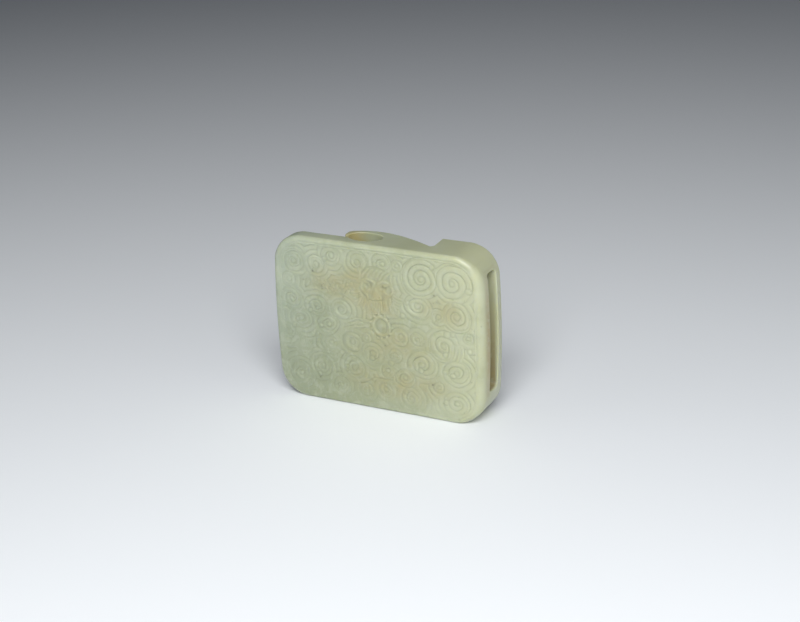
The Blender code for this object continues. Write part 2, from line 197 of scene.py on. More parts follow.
SCROLLS = (
    # Row under the top border
    CloudScroll(6.3, 38.4, 2.9, 1.9, 250, 1),
    CloudScroll(13.0, 38.6, 2.4, 1.6, 250, -1),
    CloudScroll(17.4, 41.3, 2.7, 1.8, 215, 1),
    CloudScroll(24.9, 40.6, 3.1, 1.6, -60, -1),
    CloudScroll(36.2, 40.9, 1.6, 1.2, 100, -1),
    CloudScroll(32.0, 41.1, 2.9, 1.9, 195, 1),
    CloudScroll(51.6, 38.2, 5.4, 2.9, -20, -1),
    CloudScroll(42.8, 38.3, 5.6, 3.3, 45, -1),
    # Row beside the head
    CloudScroll(4.6, 33.2, 2.1, 1.5, 60, 1),
    CloudScroll(47.6, 28.7, 2.4, 1.6, 250, 1),
    CloudScroll(52.6, 29.3, 4.2, 2.6, 100, 1),
    CloudScroll(41.9, 30.7, 3.3, 2.2, 165, -1, 1.25),
    CloudScroll(19.8, 26.8, 2.8, 1.9, 330, 1, 1.1),
    CloudScroll(12.4, 26.9, 2.9, 2.1, 165, 1, 1.2),
    CloudScroll(5.1, 27.9, 3.4, 2.1, 215, 1),
    # Row of the pearl
    CloudScroll(15.8, 22.2, 2.9, 1.9, 215, 1, 1.1),
    CloudScroll(7.6, 22.6, 2.8, 2.0, 225, 1, 1.25),
    CloudScroll(36.6, 21.6, 2.6, 1.7, -50, -1),
    CloudScroll(41.5, 21.8, 1.9, 1.5, 270, 1),
    CloudScroll(48.9, 20.9, 4.4, 2.5, 75, -1),
    CloudScroll(55.6, 24.0, 1.5, 1.2, 90, 1),
    CloudScroll(27.0, 19.9, 1.4, 1.2, 90, 1),
    # Row below it
    CloudScroll(3.3, 18.4, 2.4, 1.7, 15, 1),
    CloudScroll(16.3, 17.0, 1.9, 1.5, 0, -1),
    CloudScroll(22.7, 18.2, 3.0, 1.6, 190, 1),
    CloudScroll(28.7, 15.7, 3.3, 2.0, 20, 1),
    CloudScroll(35.1, 16.2, 1.9, 1.5, 200, 1),
    CloudScroll(42.8, 14.9, 4.0, 2.4, 200, 1, 1.1),
    CloudScroll(52.4, 14.0, 3.7, 2.3, 185, 1, 1.1),
    # Lower rows
    CloudScroll(13.3, 9.7, 2.8, 1.8, 220, 1),
    CloudScroll(22.9, 11.0, 3.0, 2.1, 200, 1),
    CloudScroll(32.8, 11.5, 2.0, 1.6, 190, 1),
    CloudScroll(37.6, 10.3, 2.7, 1.9, 210, 1),
    CloudScroll(47.3, 9.3, 1.6, 1.3, 90, 1),
    CloudScroll(6.6, 6.9, 3.3, 2.0, 210, 1),
    CloudScroll(18.8, 5.2, 2.4, 1.6, 210, 1),
    CloudScroll(26.2, 5.2, 2.1, 1.5, 90, 1),
    CloudScroll(31.9, 6.0, 2.0, 1.4, 90, -1),
    CloudScroll(39.4, 4.9, 2.9, 1.9, 140, -1),
    CloudScroll(52.2, 5.4, 3.7, 2.3, 180, -1),
)


@dataclass(frozen=True)
class Stroke:
    """The section of a rounded ridge: half width, height of its crown, and fall from there to its edge."""

    half: float
    crown: float
    fall: float


class Relief:
    """Heights of the carving, in millimetres from the front face, for places on the drawing sheet."""

    def __init__(self, x: np.ndarray, z: np.ndarray, ground: float) -> None:
        """Start with a flat ground.

        Args:
            x: places across the sheet.
            z: places up the sheet.
            ground: height of the ground, 0 or less.
        """
        self.x = x
        self.z = z
        self.height = np.full(x.shape, ground)

    def lay(self, height: np.ndarray | float, cover: np.ndarray) -> None:
        """Lay a shape over what is there, as far as it covers."""
        self.height = self.height + (height - self.height) * cover

    def ellipse(self, x: float, z: float, wide: float, tall: float, tilt: float = 0.0) -> np.ndarray:
        """Return distances from a place as shares of an ellipse's size.

        Args:
            x: centre, across.
            z: centre, up.
            wide: half width.
            tall: half height.
            tilt: turn of the ellipse, in degrees.

        Returns:
            0 at the centre and 1 on the ellipse.
        """
        turn = math.radians(tilt)
        across = (self.x - x) * math.cos(turn) + (self.z - z) * math.sin(turn)
        up = (self.z - z) * math.cos(turn) - (self.x - x) * math.sin(turn)
        return np.hypot(across / wide, up / tall)

    def dome(
        self, x: float, z: float, wide: float, tall: float, top: float, drop: float, tilt: float = 0.0
    ) -> None:
        """Lay a rounded swelling.

        Args:
            x: centre, across.
            z: centre, up.
            wide: half width.
            tall: half height.
            top: height of its top.
            drop: fall from the top to the edge.
            tilt: turn in degrees.
        """
        out = self.ellipse(x, z, wide, tall, tilt)
        edge = 0.25 / min(wide, tall)
        self.lay(top - drop * out ** 2, smooth_step((1.0 + edge / 2 - out) / edge))

    def pit(self, x: float, z: float, wide: float, tall: float, depth: float, tilt: float = 0.0) -> None:
        """Sink a rounded hollow of a depth."""
        out = self.ellipse(x, z, wide, tall, tilt)
        self.height = self.height - depth * smooth_step(1.4 - out)

    def distance(self, points: Points) -> np.ndarray:
        """Return how far each place lies from a line through points.

        Args:
            points: the line.

        Returns:
            Distances, 0 on the line.
        """
        nearest = np.full(self.x.shape, np.inf)
        for (x0, z0), (x1, z1) in zip(points, points[1:]):
            run = np.array([x1 - x0, z1 - z0])
            length = float(run @ run) or 1e-9
            share = np.clip(((self.x - x0) * run[0] + (self.z - z0) * run[1]) / length, 0.0, 1.0)
            off_x = self.x - x0 - share * run[0]
            off_z = self.z - z0 - share * run[1]
            nearest = np.minimum(nearest, np.hypot(off_x, off_z))
        return nearest

    def groove(self, points: Points, width: float, depth: float) -> None:
        """Cut a soft groove along a line, by its half width and depth."""
        self.height = self.height - depth * np.exp(-(self.distance(points) / width) ** 2)

    def ridge(self, points: Points, stroke: Stroke) -> None:
        """Lay a rounded ridge along a line, with a stroke's section."""
        out = self.distance(points) / stroke.half
        self.lay(stroke.crown - stroke.fall * out ** 2, smooth_step((1.1 - out) / 0.25))


@dataclass(frozen=True)
class CloudGround:
    """The scrolls of the carving and the small ridges that fill the ground between them."""

    crown: float = -0.01
    valley: float = -0.25
    fill_level: float = -0.11
    fill_swing: float = 0.17
    fill_pitch: float = 1.35
    fill_least: float = 0.55
    fill_patch: float = 6.5
    roundness: float = 4.0
    sink: float = 0.06
    head_swell: float = 0.58
    knob_drop: float = 0.24
    edge_blend: float = 0.24
    heart_share: float = 0.30
    heart_drop: float = 0.16
    head_drop: float = 0.15
    knobs: Places = (
        (2.8, 25.8, 0.8), (5.2, 27.6, 0.75), (10.7, 25.4, 0.8), (12.5, 26.2, 0.7), (5.4, 20.3, 0.85),
        (6.6, 22.1, 0.7), (13.7, 21.3, 0.85), (15.8, 22.0, 0.8), (20.7, 17.9, 1.05), (28.2, 14.2, 0.9),
        (42.4, 13.2, 1.0), (51.3, 13.1, 0.9), (20.8, 10.9, 0.75), (12.4, 7.4, 0.8), (49.3, 18.7, 0.9),
    )

    def profile(self, phase: np.ndarray) -> np.ndarray:
        """Return a row of ridges: 0 at whole phases, which are the grooves, and 1 between them."""
        return 1.0 - np.abs(2.0 * (phase - np.floor(phase)) - 1.0) ** self.roundness

    def fill(self, relief: Relief) -> None:
        """Lay ridges that follow the nearest scroll over the ground, clear in some patches, faint in others.

        Args:
            relief: the carving.
        """
        nearest = np.full(relief.x.shape, np.inf)
        for scroll in SCROLLS:
            out, _ = scroll.polar(relief.x, relief.z)
            nearest = np.minimum(nearest, (out - scroll.radius) * scroll.stretch ** 0.5)
        ridges = self.profile(nearest / self.fill_pitch) - 0.7
        patches = smooth_step(0.5 + 0.8 * wander(relief.x, relief.z, self.fill_patch, 2.1))
        strength = self.fill_least + (1.0 - self.fill_least) * patches
        height = self.fill_level + self.fill_swing * ridges * strength
        relief.lay(height, np.ones(relief.x.shape))

    def wind(self, relief: Relief, scroll: CloudScroll) -> None:
        """Lay one scroll over what is there, some a little lower than others.

        Args:
            relief: the carving.
            scroll: the scroll.
        """
        out, back = scroll.polar(relief.x, relief.z)
        edge = scroll.radius - scroll.pitch * back
        phase = (scroll.radius - out) / scroll.pitch - back
        crown = self.crown - self.sink * (0.5 + 0.5 * math.sin(12.9 * scroll.x + 7.1 * scroll.z))
        height = self.valley + (crown - self.valley) * self.profile(phase)
        relief.lay(height, smooth_step((edge - out + self.edge_blend / 2) / self.edge_blend))
        heart = scroll.heart + self.heart_share * scroll.pitch
        relief.dome(scroll.x, scroll.z, heart * scroll.stretch, heart, crown, self.heart_drop)
        x, z = scroll.end_place()
        head = self.head_swell * scroll.pitch
        relief.dome(x, z, head * scroll.stretch, head, crown, self.head_drop)

    def carve(self, relief: Relief) -> None:
        """Carve the ground and every scroll, each over the ones before, and the knobs at their hearts.

        Args:
            relief: the carving.
        """
        self.fill(relief)
        for scroll in SCROLLS:
            self.wind(relief, scroll)
        for x, z, radius in self.knobs:
            relief.dome(x, z, radius, radius, 0.0, self.knob_drop)


@dataclass(frozen=True)
class DragonHead:
    """The dragon's head seen from the front, with its horns, beard and mane."""

    x: float = 30.3
    z: float = 34.0
    eyes: tuple[tuple[float, float, float, float], ...] = ((28.1, 34.7, 1.0, 0.75), (32.3, 34.4, 0.95, 0.6))
    eye_depth: float = 0.24
    snout_top: float = 34.4
    snout_foot: float = 31.0
    snout_least: float = 0.45
    snout_most: float = 1.5
    curl: float = 1.25
    notches: tuple[float, ...] = (25.2, 26.6, 27.9, 31.9, 33.1, 34.4)
    notch_half: float = 0.22
    notch_depth: float = 0.10
    horns: Places = ((25.6, 35.8, 38.3), (34.8, 35.2, 38.4))
    horn_lean: float = 0.06
    brow_lines: int = 6
    beard_hairs: int = 9
    mane_strands: int = 5
    brow_line: Stroke = Stroke(0.34, -0.06, 0.10)
    horn: Stroke = Stroke(0.42, -0.03, 0.14)
    brow: Stroke = Stroke(0.40, -0.02, 0.14)
    brow_curl: Stroke = Stroke(0.38, -0.02, 0.14)
    cheek: Stroke = Stroke(0.5, -0.05, 0.12)
    hair: Stroke = Stroke(0.38, -0.05, 0.15)
    middle_hair: Stroke = Stroke(0.3, -0.02, 0.14)
    strand: Stroke = Stroke(0.40, -0.06, 0.13)

    def carve(self, relief: Relief) -> None:
        """Carve the head over what is there.

        Args:
            relief: the carving.
        """
        x, z = self.x, self.z
        self._mane(relief)
        relief.dome(x - 0.2, z + 3.1, 4.3, 2.9, -0.12, 0.10)
        relief.dome(x - 0.2, z - 0.4, 4.8, 3.0, -0.12, 0.08)
        for line in range(self.brow_lines):
            start = x - 4.0 + 1.25 * line
            relief.ridge(bent(start, z + 2.5, start + 1.7, z + 4.9, 0.08), self.brow_line)
        for horn_x, foot, top in self.horns:
            lean = math.copysign(self.horn_lean, horn_x - x)
            relief.ridge(bent(horn_x, foot, horn_x - 5 * lean, top, lean), self.horn)
        for side in (-1, 1):
            relief.ridge(bent(x + side * 0.5, z + 1.3, x + side * 3.9, z + 1.5, side * 0.22), self.brow)
            turn = (90, 400) if side > 0 else (90, -220)
            relief.ridge(arc(x + side * 3.3, z + 0.1, self.curl, *turn, 16), self.brow_curl)
            relief.ridge(bent(x + side * 3.6, z - 1.2, x + side * 2.6, z - 2.6, side * -0.16), self.cheek)
        for eye_x, eye_z, wide, tall in self.eyes:
            relief.pit(eye_x, eye_z, wide, tall, self.eye_depth, 8.0)
        self._snout(relief)
        for notch in self.notches:
            relief.groove([(notch, z - 1.9), (notch - 0.1, z - 3.6)], self.notch_half, self.notch_depth)
        self._beard(relief)

    def _snout(self, relief: Relief) -> None:
        """Carve the smooth snout, a wedge that widens from between the eyes down to the mouth.

        Args:
            relief: the carving.
        """
        down = (self.snout_top - relief.z) / (self.snout_top - self.snout_foot)
        half = self.snout_least + (self.snout_most - self.snout_least) * smooth_step(down)
        out = np.abs(relief.x - self.x) / half
        cover = smooth_step((1.05 - out) / 0.25)
        cover *= smooth_step(down / 0.12)
        cover *= smooth_step((1.05 - down) / 0.15)
        relief.lay(-0.09 * out ** 2, cover)
        for side in (-1, 1):
            relief.pit(self.x + side * 0.75, self.snout_foot + 0.6, 0.24, 0.18, 0.12)

    def _beard(self, relief: Relief) -> None:
        """Carve the beard's hairs below the snout, and the ridge down their middle.

        Args:
            relief: the carving.
        """
        foot = self.snout_foot
        for hair in range(self.beard_hairs):
            share = 2 * hair / (self.beard_hairs - 1) - 1
            start = (self.x + 4.6 * share, foot - 0.7 + 0.6 * share ** 2)
            stop = (self.x + 5.6 * share, foot - 3.0 - 0.5 * (hair % 2) + 0.9 * share ** 2)
            relief.ridge(bent(*start, *stop, -0.06 * share), self.hair)
        middle = self.x - 0.6
        relief.ridge([(middle, foot - 0.6), (middle, foot - 3.6)], self.middle_hair)

    def _mane(self, relief: Relief) -> None:
        """Carve the mane's strands, which sweep out and down from both cheeks.

        Args:
            relief: the carving.
        """
        for strand in range(self.mane_strands):
            for side in (-1, 1):
                start = (self.x + side * 3.6, self.z - 0.2 - 0.55 * strand)
                stop = (self.x + side * (7.2 - 0.35 * strand), self.z - 1.9 - 0.85 * strand)
                relief.ridge(bent(*start, *stop, side * -0.12), self.strand)


@dataclass(frozen=True)
class ScaledBody:
    """The dragon's scaled body, a waved band left of the head."""

    left: float = 10.6
    right: float = 24.4
    z: float = 33.1
    wave: float = 0.7
    half: float = 1.9
    scale: float = 1.3
    unevenness: float = 0.3
    floor: float = -0.24
    scale_rise: float = 0.17
    swell: float = 0.06

    def middle(self, x: np.ndarray) -> np.ndarray:
        """Return the height of the band's middle at places along it."""
        return self.z + self.wave * np.cos((x - self.left) / (self.right - self.left) * 2 * np.pi)

    def carve(self, relief: Relief) -> None:
        """Carve the band with its rows of rounded scales.

        Args:
            relief: the carving.
        """
        x = relief.x + self.unevenness * wander(relief.x, relief.z, 3.1, 0.8)
        off = relief.z - self.middle(relief.x)
        row = (off + self.unevenness * wander(relief.x, relief.z, 2.7, 3.3)) / (self.scale * 0.8)
        ends = np.minimum(relief.x - self.left, self.right - relief.x)
        cover = smooth_step((self.half - np.abs(off)) / 0.3) * smooth_step((ends + 0.6) / 1.2)
        column = x / self.scale + 0.5 * (np.floor(row) % 2)
        within = np.hypot(column - np.floor(column) - 0.72, (row - np.floor(row) - 0.5) * 0.9)
        scales = np.clip(1.0 - (within / 0.62) ** 2, 0.0, 1.0)
        scales *= 0.55 + 0.45 * smooth_step(0.5 + 0.8 * wander(relief.x, relief.z, 4.5, 5.2))
        height = self.floor + self.scale_rise * scales + self.swell * (1 - (off / self.half) ** 2)
        relief.lay(height, cover)


@dataclass(frozen=True)
class FlamingPearl:
    """The pearl below the head, in its ring of small flames."""

    x: float = 31.3
    z: float = 23.8
    radius: float = 1.35
    ring: float = 2.35
    flames: int = 11
    flame_length: float = 0.9
    bed: float = -0.22
    flame: Stroke = Stroke(0.36, 0.0, 0.17)
    band: Stroke = Stroke(0.44, 0.0, 0.16)

    def carve(self, relief: Relief) -> None:
        """Carve the pearl over what is there.

        Args:
            relief: the carving.
        """
        reach = self.ring + self.flame_length
        relief.dome(self.x, self.z, reach, reach, self.bed, 0.04)
        for flame in range(self.flames):
            angle = math.radians(360 * flame / self.flames + 15)
            start = (self.x + self.ring * math.cos(angle), self.z + self.ring * math.sin(angle))
            lean = angle + 0.35
            stop = (self.x + reach * math.cos(lean), self.z + reach * math.sin(lean))
            relief.ridge(bent(*start, *stop, 0.12), self.flame)
        relief.ridge(arc(self.x, self.z, self.ring, 0, 360, 28), self.band)
        relief.dome(self.x, self.z, self.radius, self.radius, -0.06, 0.13)
        relief.groove(arc(self.x, self.z - 0.2, self.radius * 0.55, 200, 340, 8), 0.22, 0.09)


@dataclass(frozen=True)
class PlumesAndLeaves:
    """The plume at the left, the leaf blades in the middle, the beads and the arcs over the corner scroll."""

    plume_barbs: int = 7
    leaf_blades: int = 3
    wing_veins: int = 4
    beads: Places = (
        (37.5, 27.6, 0.9), (12.2, 18.9, 0.8), (12.5, 17.0, 0.7), (33.6, 13.9, 0.9),
        (15.4, 14.2, 0.6), (17.0, 14.0, 0.6), (51.2, 24.6, 0.8), (56.0, 20.6, 0.8), (30.0, 26.6, 0.7),
    )
    bead_top: float = -0.01
    bead_drop: float = 0.2
    corner_arc: Stroke = Stroke(0.46, -0.04, 0.14)
    barb: Stroke = Stroke(0.38, -0.07, 0.13)
    wing: Stroke = Stroke(0.8, 0.0, 0.2)
    vein: Stroke = Stroke(0.36, -0.05, 0.14)
    blade: Stroke = Stroke(0.4, -0.02, 0.18)

    def carve(self, relief: Relief) -> None:
        """Carve them over what is there.

        Args:
            relief: the carving.
        """
        first = SCROLLS[0]
        for ring in (1, 2):
            relief.ridge(arc(first.x, first.z, first.radius + ring * 1.0, 45, 195, 16), self.corner_arc)
        for barb in range(self.plume_barbs):
            share = barb / (self.plume_barbs - 1)
            line = bent(5.4 + 2.2 * share, 11.6 + 0.8 * share, 6.4 + 4.4 * share, 18.0 - 2.6 * share, -0.12)
            relief.ridge(line, self.barb)
        relief.ridge(arc(22.9, 18.2, 2.1, 50, 290, 14), self.wing)
        for vein in range(self.wing_veins):
            relief.ridge(bent(50.7 + 0.95 * vein, 17.6, 51.5 + 0.85 * vein, 21.8, -0.10), self.vein)
        for blade in range(self.leaf_blades):
            relief.ridge(bent(21.6, 22.1 + 0.9 * blade, 25.8, 22.8 + 1.0 * blade, 0.08), self.blade)
        for x, z, radius in self.beads:
            relief.dome(x, z, radius, radius, self.bead_top, self.bead_drop)


@dataclass(frozen=True)
class FaceOutline:
    """The front's outline about its middle: a rounded rectangle whose upright sides swell by bow."""

    half_width: float
    half_height: float
    corner: float
    bow: float
    arc_points: int = 60
    straight_points: int = 200

    def _round(self, middle: tuple[float, float], start: float, stop: float) -> np.ndarray:
        """Return a dense arc about a corner's middle, from one angle in degrees to another."""
        angles = np.radians(np.linspace(start, stop, self.arc_points))
        return np.array(middle) + self.corner * np.stack([np.cos(angles), np.sin(angles)], 1)

    def _side(self, quarter_turns: int) -> np.ndarray:
        """Return a dense line along one side, between the middles of its two corners.

        Args:
            quarter_turns: 0 for the right side, 1 for the top, 2 for the left, 3 for the bottom.

        Returns:
            Points, one row each, counterclockwise.
        """
        x = self.half_width - self.bow - self.corner
        z = self.half_height - self.corner
        middles = ((x, -z), (x, z), (-x, z), (-x, -z))
        turn = 90 * quarter_turns
        first = self._round(middles[quarter_turns], turn - 45, turn)
        last = self._round(middles[(quarter_turns + 1) % 4], turn, turn + 45)
        share = np.linspace(-1, 1, self.straight_points)[1:-1, None]
        straight = first[-1] + (last[0] - first[-1]) * (share + 1) / 2
        if quarter_turns % 2 == 0:
            straight[:, 0] += (1 - quarter_turns) * self.bow * (1 - share[:, 0] ** 2)
        return np.concatenate([first, straight, last])

    def side(self, quarter_turns: int, steps: int) -> np.ndarray:
        """Return evenly spaced points along one side.

        Args:
            quarter_turns: as for the dense line.
            steps: number of steps.

        Returns:
            Points, one row each, counterclockwise.
        """
        line = self._side(quarter_turns)
        along = np.concatenate([[0.0], np.cumsum(np.hypot(*np.diff(line, axis=0).T))])
        wanted = np.linspace(0.0, along[-1], steps + 1)
        return np.stack([np.interp(wanted, along, line[:, 0]), np.interp(wanted, along, line[:, 1])], 1)

    def loop(self, wide_steps: int, tall_steps: int) -> np.ndarray:
        """Return the whole outline, counterclockwise from the lower right corner's middle."""
        sides = [self.side(turn, (tall_steps, wide_steps)[turn % 2])[:-1] for turn in range(4)]
        return np.concatenate(sides)


def outward(loop: np.ndarray) -> np.ndarray:
    """Return unit directions that point out of a counterclockwise closed line.

    Args:
        loop: the line's points, one row each.

    Returns:
        A direction for each point, one row each.
    """
    along = np.roll(loop, -1, 0) - np.roll(loop, 1, 0)
    along /= np.linalg.norm(along, axis=1)[:, None]
    return np.stack([along[:, 1], -along[:, 0]], 1)


def only(thing: bpy.types.Object) -> None:
    """Select one object and make it active.

    Args:
        thing: the object.
    """
    bpy.ops.object.select_all(action="DESELECT")
    thing.select_set(True)
    bpy.context.view_layer.objects.active = thing


def place_vertices(thing: bpy.types.Object, places: np.ndarray) -> None:
    """Put an object's vertices at places, one row each."""
    thing.data.vertices.foreach_set("co", places.astype(np.float32).ravel())
    thing.data.update()


def vertex_places(thing: bpy.types.Object) -> np.ndarray:
    """Return the places of an object's vertices.

    Args:
        thing: the object.

    Returns:
        The places, one row each.
    """
    flat = np.zeros(len(thing.data.vertices) * 3, np.float32)
    thing.data.vertices.foreach_get("co", flat)
    return flat.reshape(-1, 3).astype(float)


def apply_modifier(thing: bpy.types.Object, label: str, kind: str, **settings: object) -> None:
    """Add a modifier to an object and apply it.

    Args:
        thing: the object.
        label: the modifier's name.
        kind: the modifier's type.
        settings: values set on the modifier.
    """
    only(thing)
    modifier = thing.modifiers.new(label, kind)
    for name, value in settings.items():
        setattr(modifier, name, value)
    bpy.ops.object.modifier_apply(modifier=label)


def extruded_outline(name: str, ring: np.ndarray, run: Vector) -> bpy.types.Object:
    """Draw a flat closed outline and extrude it into a closed prism.

    Args:
        name: the new object's name.
        ring: the outline's points in space, one row each.
        run: the extrusion.

    Returns:
        The prism.
    """
    bpy.ops.object.select_all(action="DESELECT")
    bpy.ops.mesh.primitive_circle_add(vertices=len(ring), radius=0.01, fill_type="NGON")
    prism = bpy.context.object
    prism.name = name
    place_vertices(prism, ring)
    bpy.ops.object.mode_set(mode="EDIT")
    bpy.ops.mesh.select_all(action="SELECT")
    bpy.ops.mesh.extrude_region_move(TRANSFORM_OT_translate={"value": run})
    bpy.ops.mesh.select_all(action="SELECT")
    bpy.ops.mesh.normals_make_consistent(inside=False)
    bpy.ops.object.mode_set(mode="OBJECT")
    return prism


@dataclass
class CarvedFront:
    """The carved front face with its rounded rim: an open shell from the face back to the side walls."""

    outline: FaceOutline
    middle_z: float
    front: float
    sheet_width: float = 60.0
    wide_steps: int = 300
    tall_steps: int = 224
    rim: float = 0.0010
    rim_width_right: float = 0.0020
    rim_depth_right: float = 0.0022
    rim_rings: int = 7
    back_depth: float = 0.0024
    thin_by: int = 4
    border_side: float = 2.1
    border_top: float = 1.4
    border_corner: float = 7.0
    border_half: float = 0.20
    border_depth: float = 0.18
    ground: float = -0.2
    hand_sway: float = 0.20
    boldness: float = 1.62
    boldness_right: float = -0.10
    crack: tuple[tuple[float, float], ...] = ((23.9, 6.7), (27.0, 7.8), (28.8, 9.0), (34.1, 9.2))
    crack_half: float = 0.15
    crack_depth: float = 0.09
    crack_dark: float = 0.14
    specks: tuple[tuple[float, float, float, float], ...] = (
        (11.9, 36.4, 0.28, 0.8), (9.0, 33.7, 0.22, 0.4), (9.6, 31.7, 0.18, 0.3), (14.4, 32.6, 0.28, 0.4),
        (20.6, 30.4, 0.22, 0.4), (46.5, 34.5, 0.26, 0.7), (46.3, 32.4, 0.20, 0.35), (32.2, 18.6, 0.24, 0.45),
        (45.5, 9.8, 0.28, 0.7), (12.5, 6.4, 0.22, 0.6), (17.7, 5.3, 0.18, 0.3), (33.7, 25.7, 0.18, 0.3),
        (31.0, 5.2, 0.18, 0.35), (48.5, 5.0, 0.18, 0.35),
    )
    speck_pit: float = 0.12
    loop: np.ndarray = field(init=False)
    out: np.ndarray = field(init=False)

    def __post_init__(self) -> None:
        """Work out the outline's points and the directions that leave it."""
        self.loop = self.outline.loop(self.wide_steps, self.tall_steps)
        self.out = outward(self.loop)

    def _rim_at_right(self, at_side: float) -> np.ndarray:
        """Return the rim's size at each point of the outline, which grows to another at the right side."""
        share = (self.loop[:, 0] / self.outline.half_width - 0.72) / 0.25
        return self.rim + (at_side - self.rim) * smooth_step(share)

    def _patch(self, u: np.ndarray, v: np.ndarray, ring: np.ndarray) -> np.ndarray:
        """Spread a grid evenly inside a closed line, with its corners at the line's corners.

        Args:
            u: shares across, 0 to 1.
            v: shares up, 0 to 1.
            ring: the closed line.

        Returns:
            Places on the face, one row each.
        """
        wide, tall = self.wide_steps, self.tall_steps
        i = np.rint(u * wide).astype(int)
        j = np.rint(v * tall).astype(int)
        right = ring[:tall + 1]
        top = ring[tall:tall + wide + 1][::-1]
        left = ring[tall + wide:2 * tall + wide + 1][::-1]
        bottom = np.concatenate([ring[2 * tall + wide:], ring[:1]])
        u, v = u[:, None], v[:, None]
        sides = (1 - v) * bottom[i] + v * top[i] + (1 - u) * left[j] + u * right[j]
        corners = (1 - u) * (1 - v) * bottom[0] + u * (1 - v) * bottom[-1]
        corners += (1 - u) * v * top[0] + u * v * top[-1]
        return sides - corners

    def _relief(self, x: np.ndarray, z: np.ndarray) -> np.ndarray:
        """Return the carving's height at places on the sheet, in millimetres, 0 or less.

        Args:
            x: places across the sheet.
            z: places up the sheet.

        Returns:
            Heights.
        """
        sway_x = x + self.hand_sway * (wander(x, z, 6.5, 0.4) + 0.35 * wander(x, z, 2.3, 1.9))
        sway_z = z + self.hand_sway * (wander(x, z, 7.1, 4.1) + 0.35 * wander(x, z, 2.6, 2.7))
        relief = Relief(sway_x, sway_z, self.ground)
        CloudGround().carve(relief)
        PlumesAndLeaves().carve(relief)
        ScaledBody().carve(relief)
        FlamingPearl().carve(relief)
        DragonHead().carve(relief)
        relief.groove(list(self.crack), self.crack_half, self.crack_depth)
        inside = self._inside_border(x, z)
        worn = fade(z, 0.45, 1.5, 5.0) * fade(x, 0.75, 2.0, 8.0)
        worn *= self.boldness + self.boldness_right * smooth_step((x + z - 45.0) / 45.0)
        height = np.minimum(relief.height, 0.0) * worn * smooth_step((inside - 0.1) / 0.5)
        line = fade(x + z, 0.45, 40.0, 30.0)
        height = height - self.border_depth * line * np.exp(-(inside / self.border_half) ** 2)
        for speck_x, speck_z, radius, strength in self.specks:
            off = (x - speck_x) ** 2 + (z - speck_z) ** 2
            height -= self.speck_pit * strength * np.exp(-off / radius ** 2)
        return height

    def _inside_border(self, x: np.ndarray, z: np.ndarray) -> np.ndarray:
        """Return how far places on the sheet lie inside the border line, its rounded corners too.

        Args:
            x: places across the sheet.
            z: places up the sheet.

        Returns:
            Distances, 0 on the line and less than 0 outside it.
        """
        sheet_height = self.outline.half_height / self.outline.half_width * self.sheet_width
        side = np.minimum(x, self.sheet_width - x) - self.border_side
        top = np.minimum(z, sheet_height - z) - self.border_top
        corner = self.border_corner
        rounded = corner - np.hypot(np.maximum(corner - side, 0), np.maximum(corner - top, 0))
        return np.where((side < corner) & (top < corner), rounded, np.minimum(side, top))

    def _speckle(self, x: np.ndarray, z: np.ndarray) -> np.ndarray:
        """Return how dark each place on the sheet is from the small dark specks and the crack.

        Args:
            x: places across the sheet.
            z: places up the sheet.

        Returns:
            Darkness, 0 to 1.
        """
        away = Relief(x, z, 0.0).distance(list(self.crack))
        dark = self.crack_dark * np.exp(-(away / self.crack_half) ** 2)
        for speck_x, speck_z, radius, strength in self.specks:
            off = (x - speck_x) ** 2 + (z - speck_z) ** 2
            dark = np.maximum(dark, strength * np.exp(-off / radius ** 2))
            dark = np.maximum(dark, 0.2 * strength * np.exp(-off / (radius * 3.0) ** 2))
        return dark

    def build(self) -> bpy.types.Object:
        """Build the shell.

        Returns:
            The carved shell, open at the back.
        """
        bpy.ops.object.select_all(action="DESELECT")
        bpy.ops.mesh.primitive_grid_add(
            x_subdivisions=self.wide_steps, y_subdivisions=self.tall_steps, size=1.0
        )
        shell = bpy.context.object
        shell.name = "carved_front"
        flat = vertex_places(shell)
        inner = self.loop - self.out * self._rim_at_right(self.rim_width_right)[:, None]
        face = self._patch(flat[:, 0] + 0.5, flat[:, 1] + 0.5, inner)
        unit = 2 * self.outline.half_width / self.sheet_width
        x = (face[:, 0] + self.outline.half_width) / unit
        z = (face[:, 1] + self.outline.half_height) / unit
        height = self._relief(x, z)
        places = np.stack([face[:, 0], self.front - height * MM, face[:, 1] + self.middle_z], 1)
        place_vertices(shell, places)
        for name, values in (("carved_depth", -height), ("speckle", self._speckle(x, z))):
            layer = shell.data.attributes.new(name, "FLOAT", "POINT")
            layer.data.foreach_set("value", values.astype(np.float32))
        self._add_rim(shell, inner)
        return shell

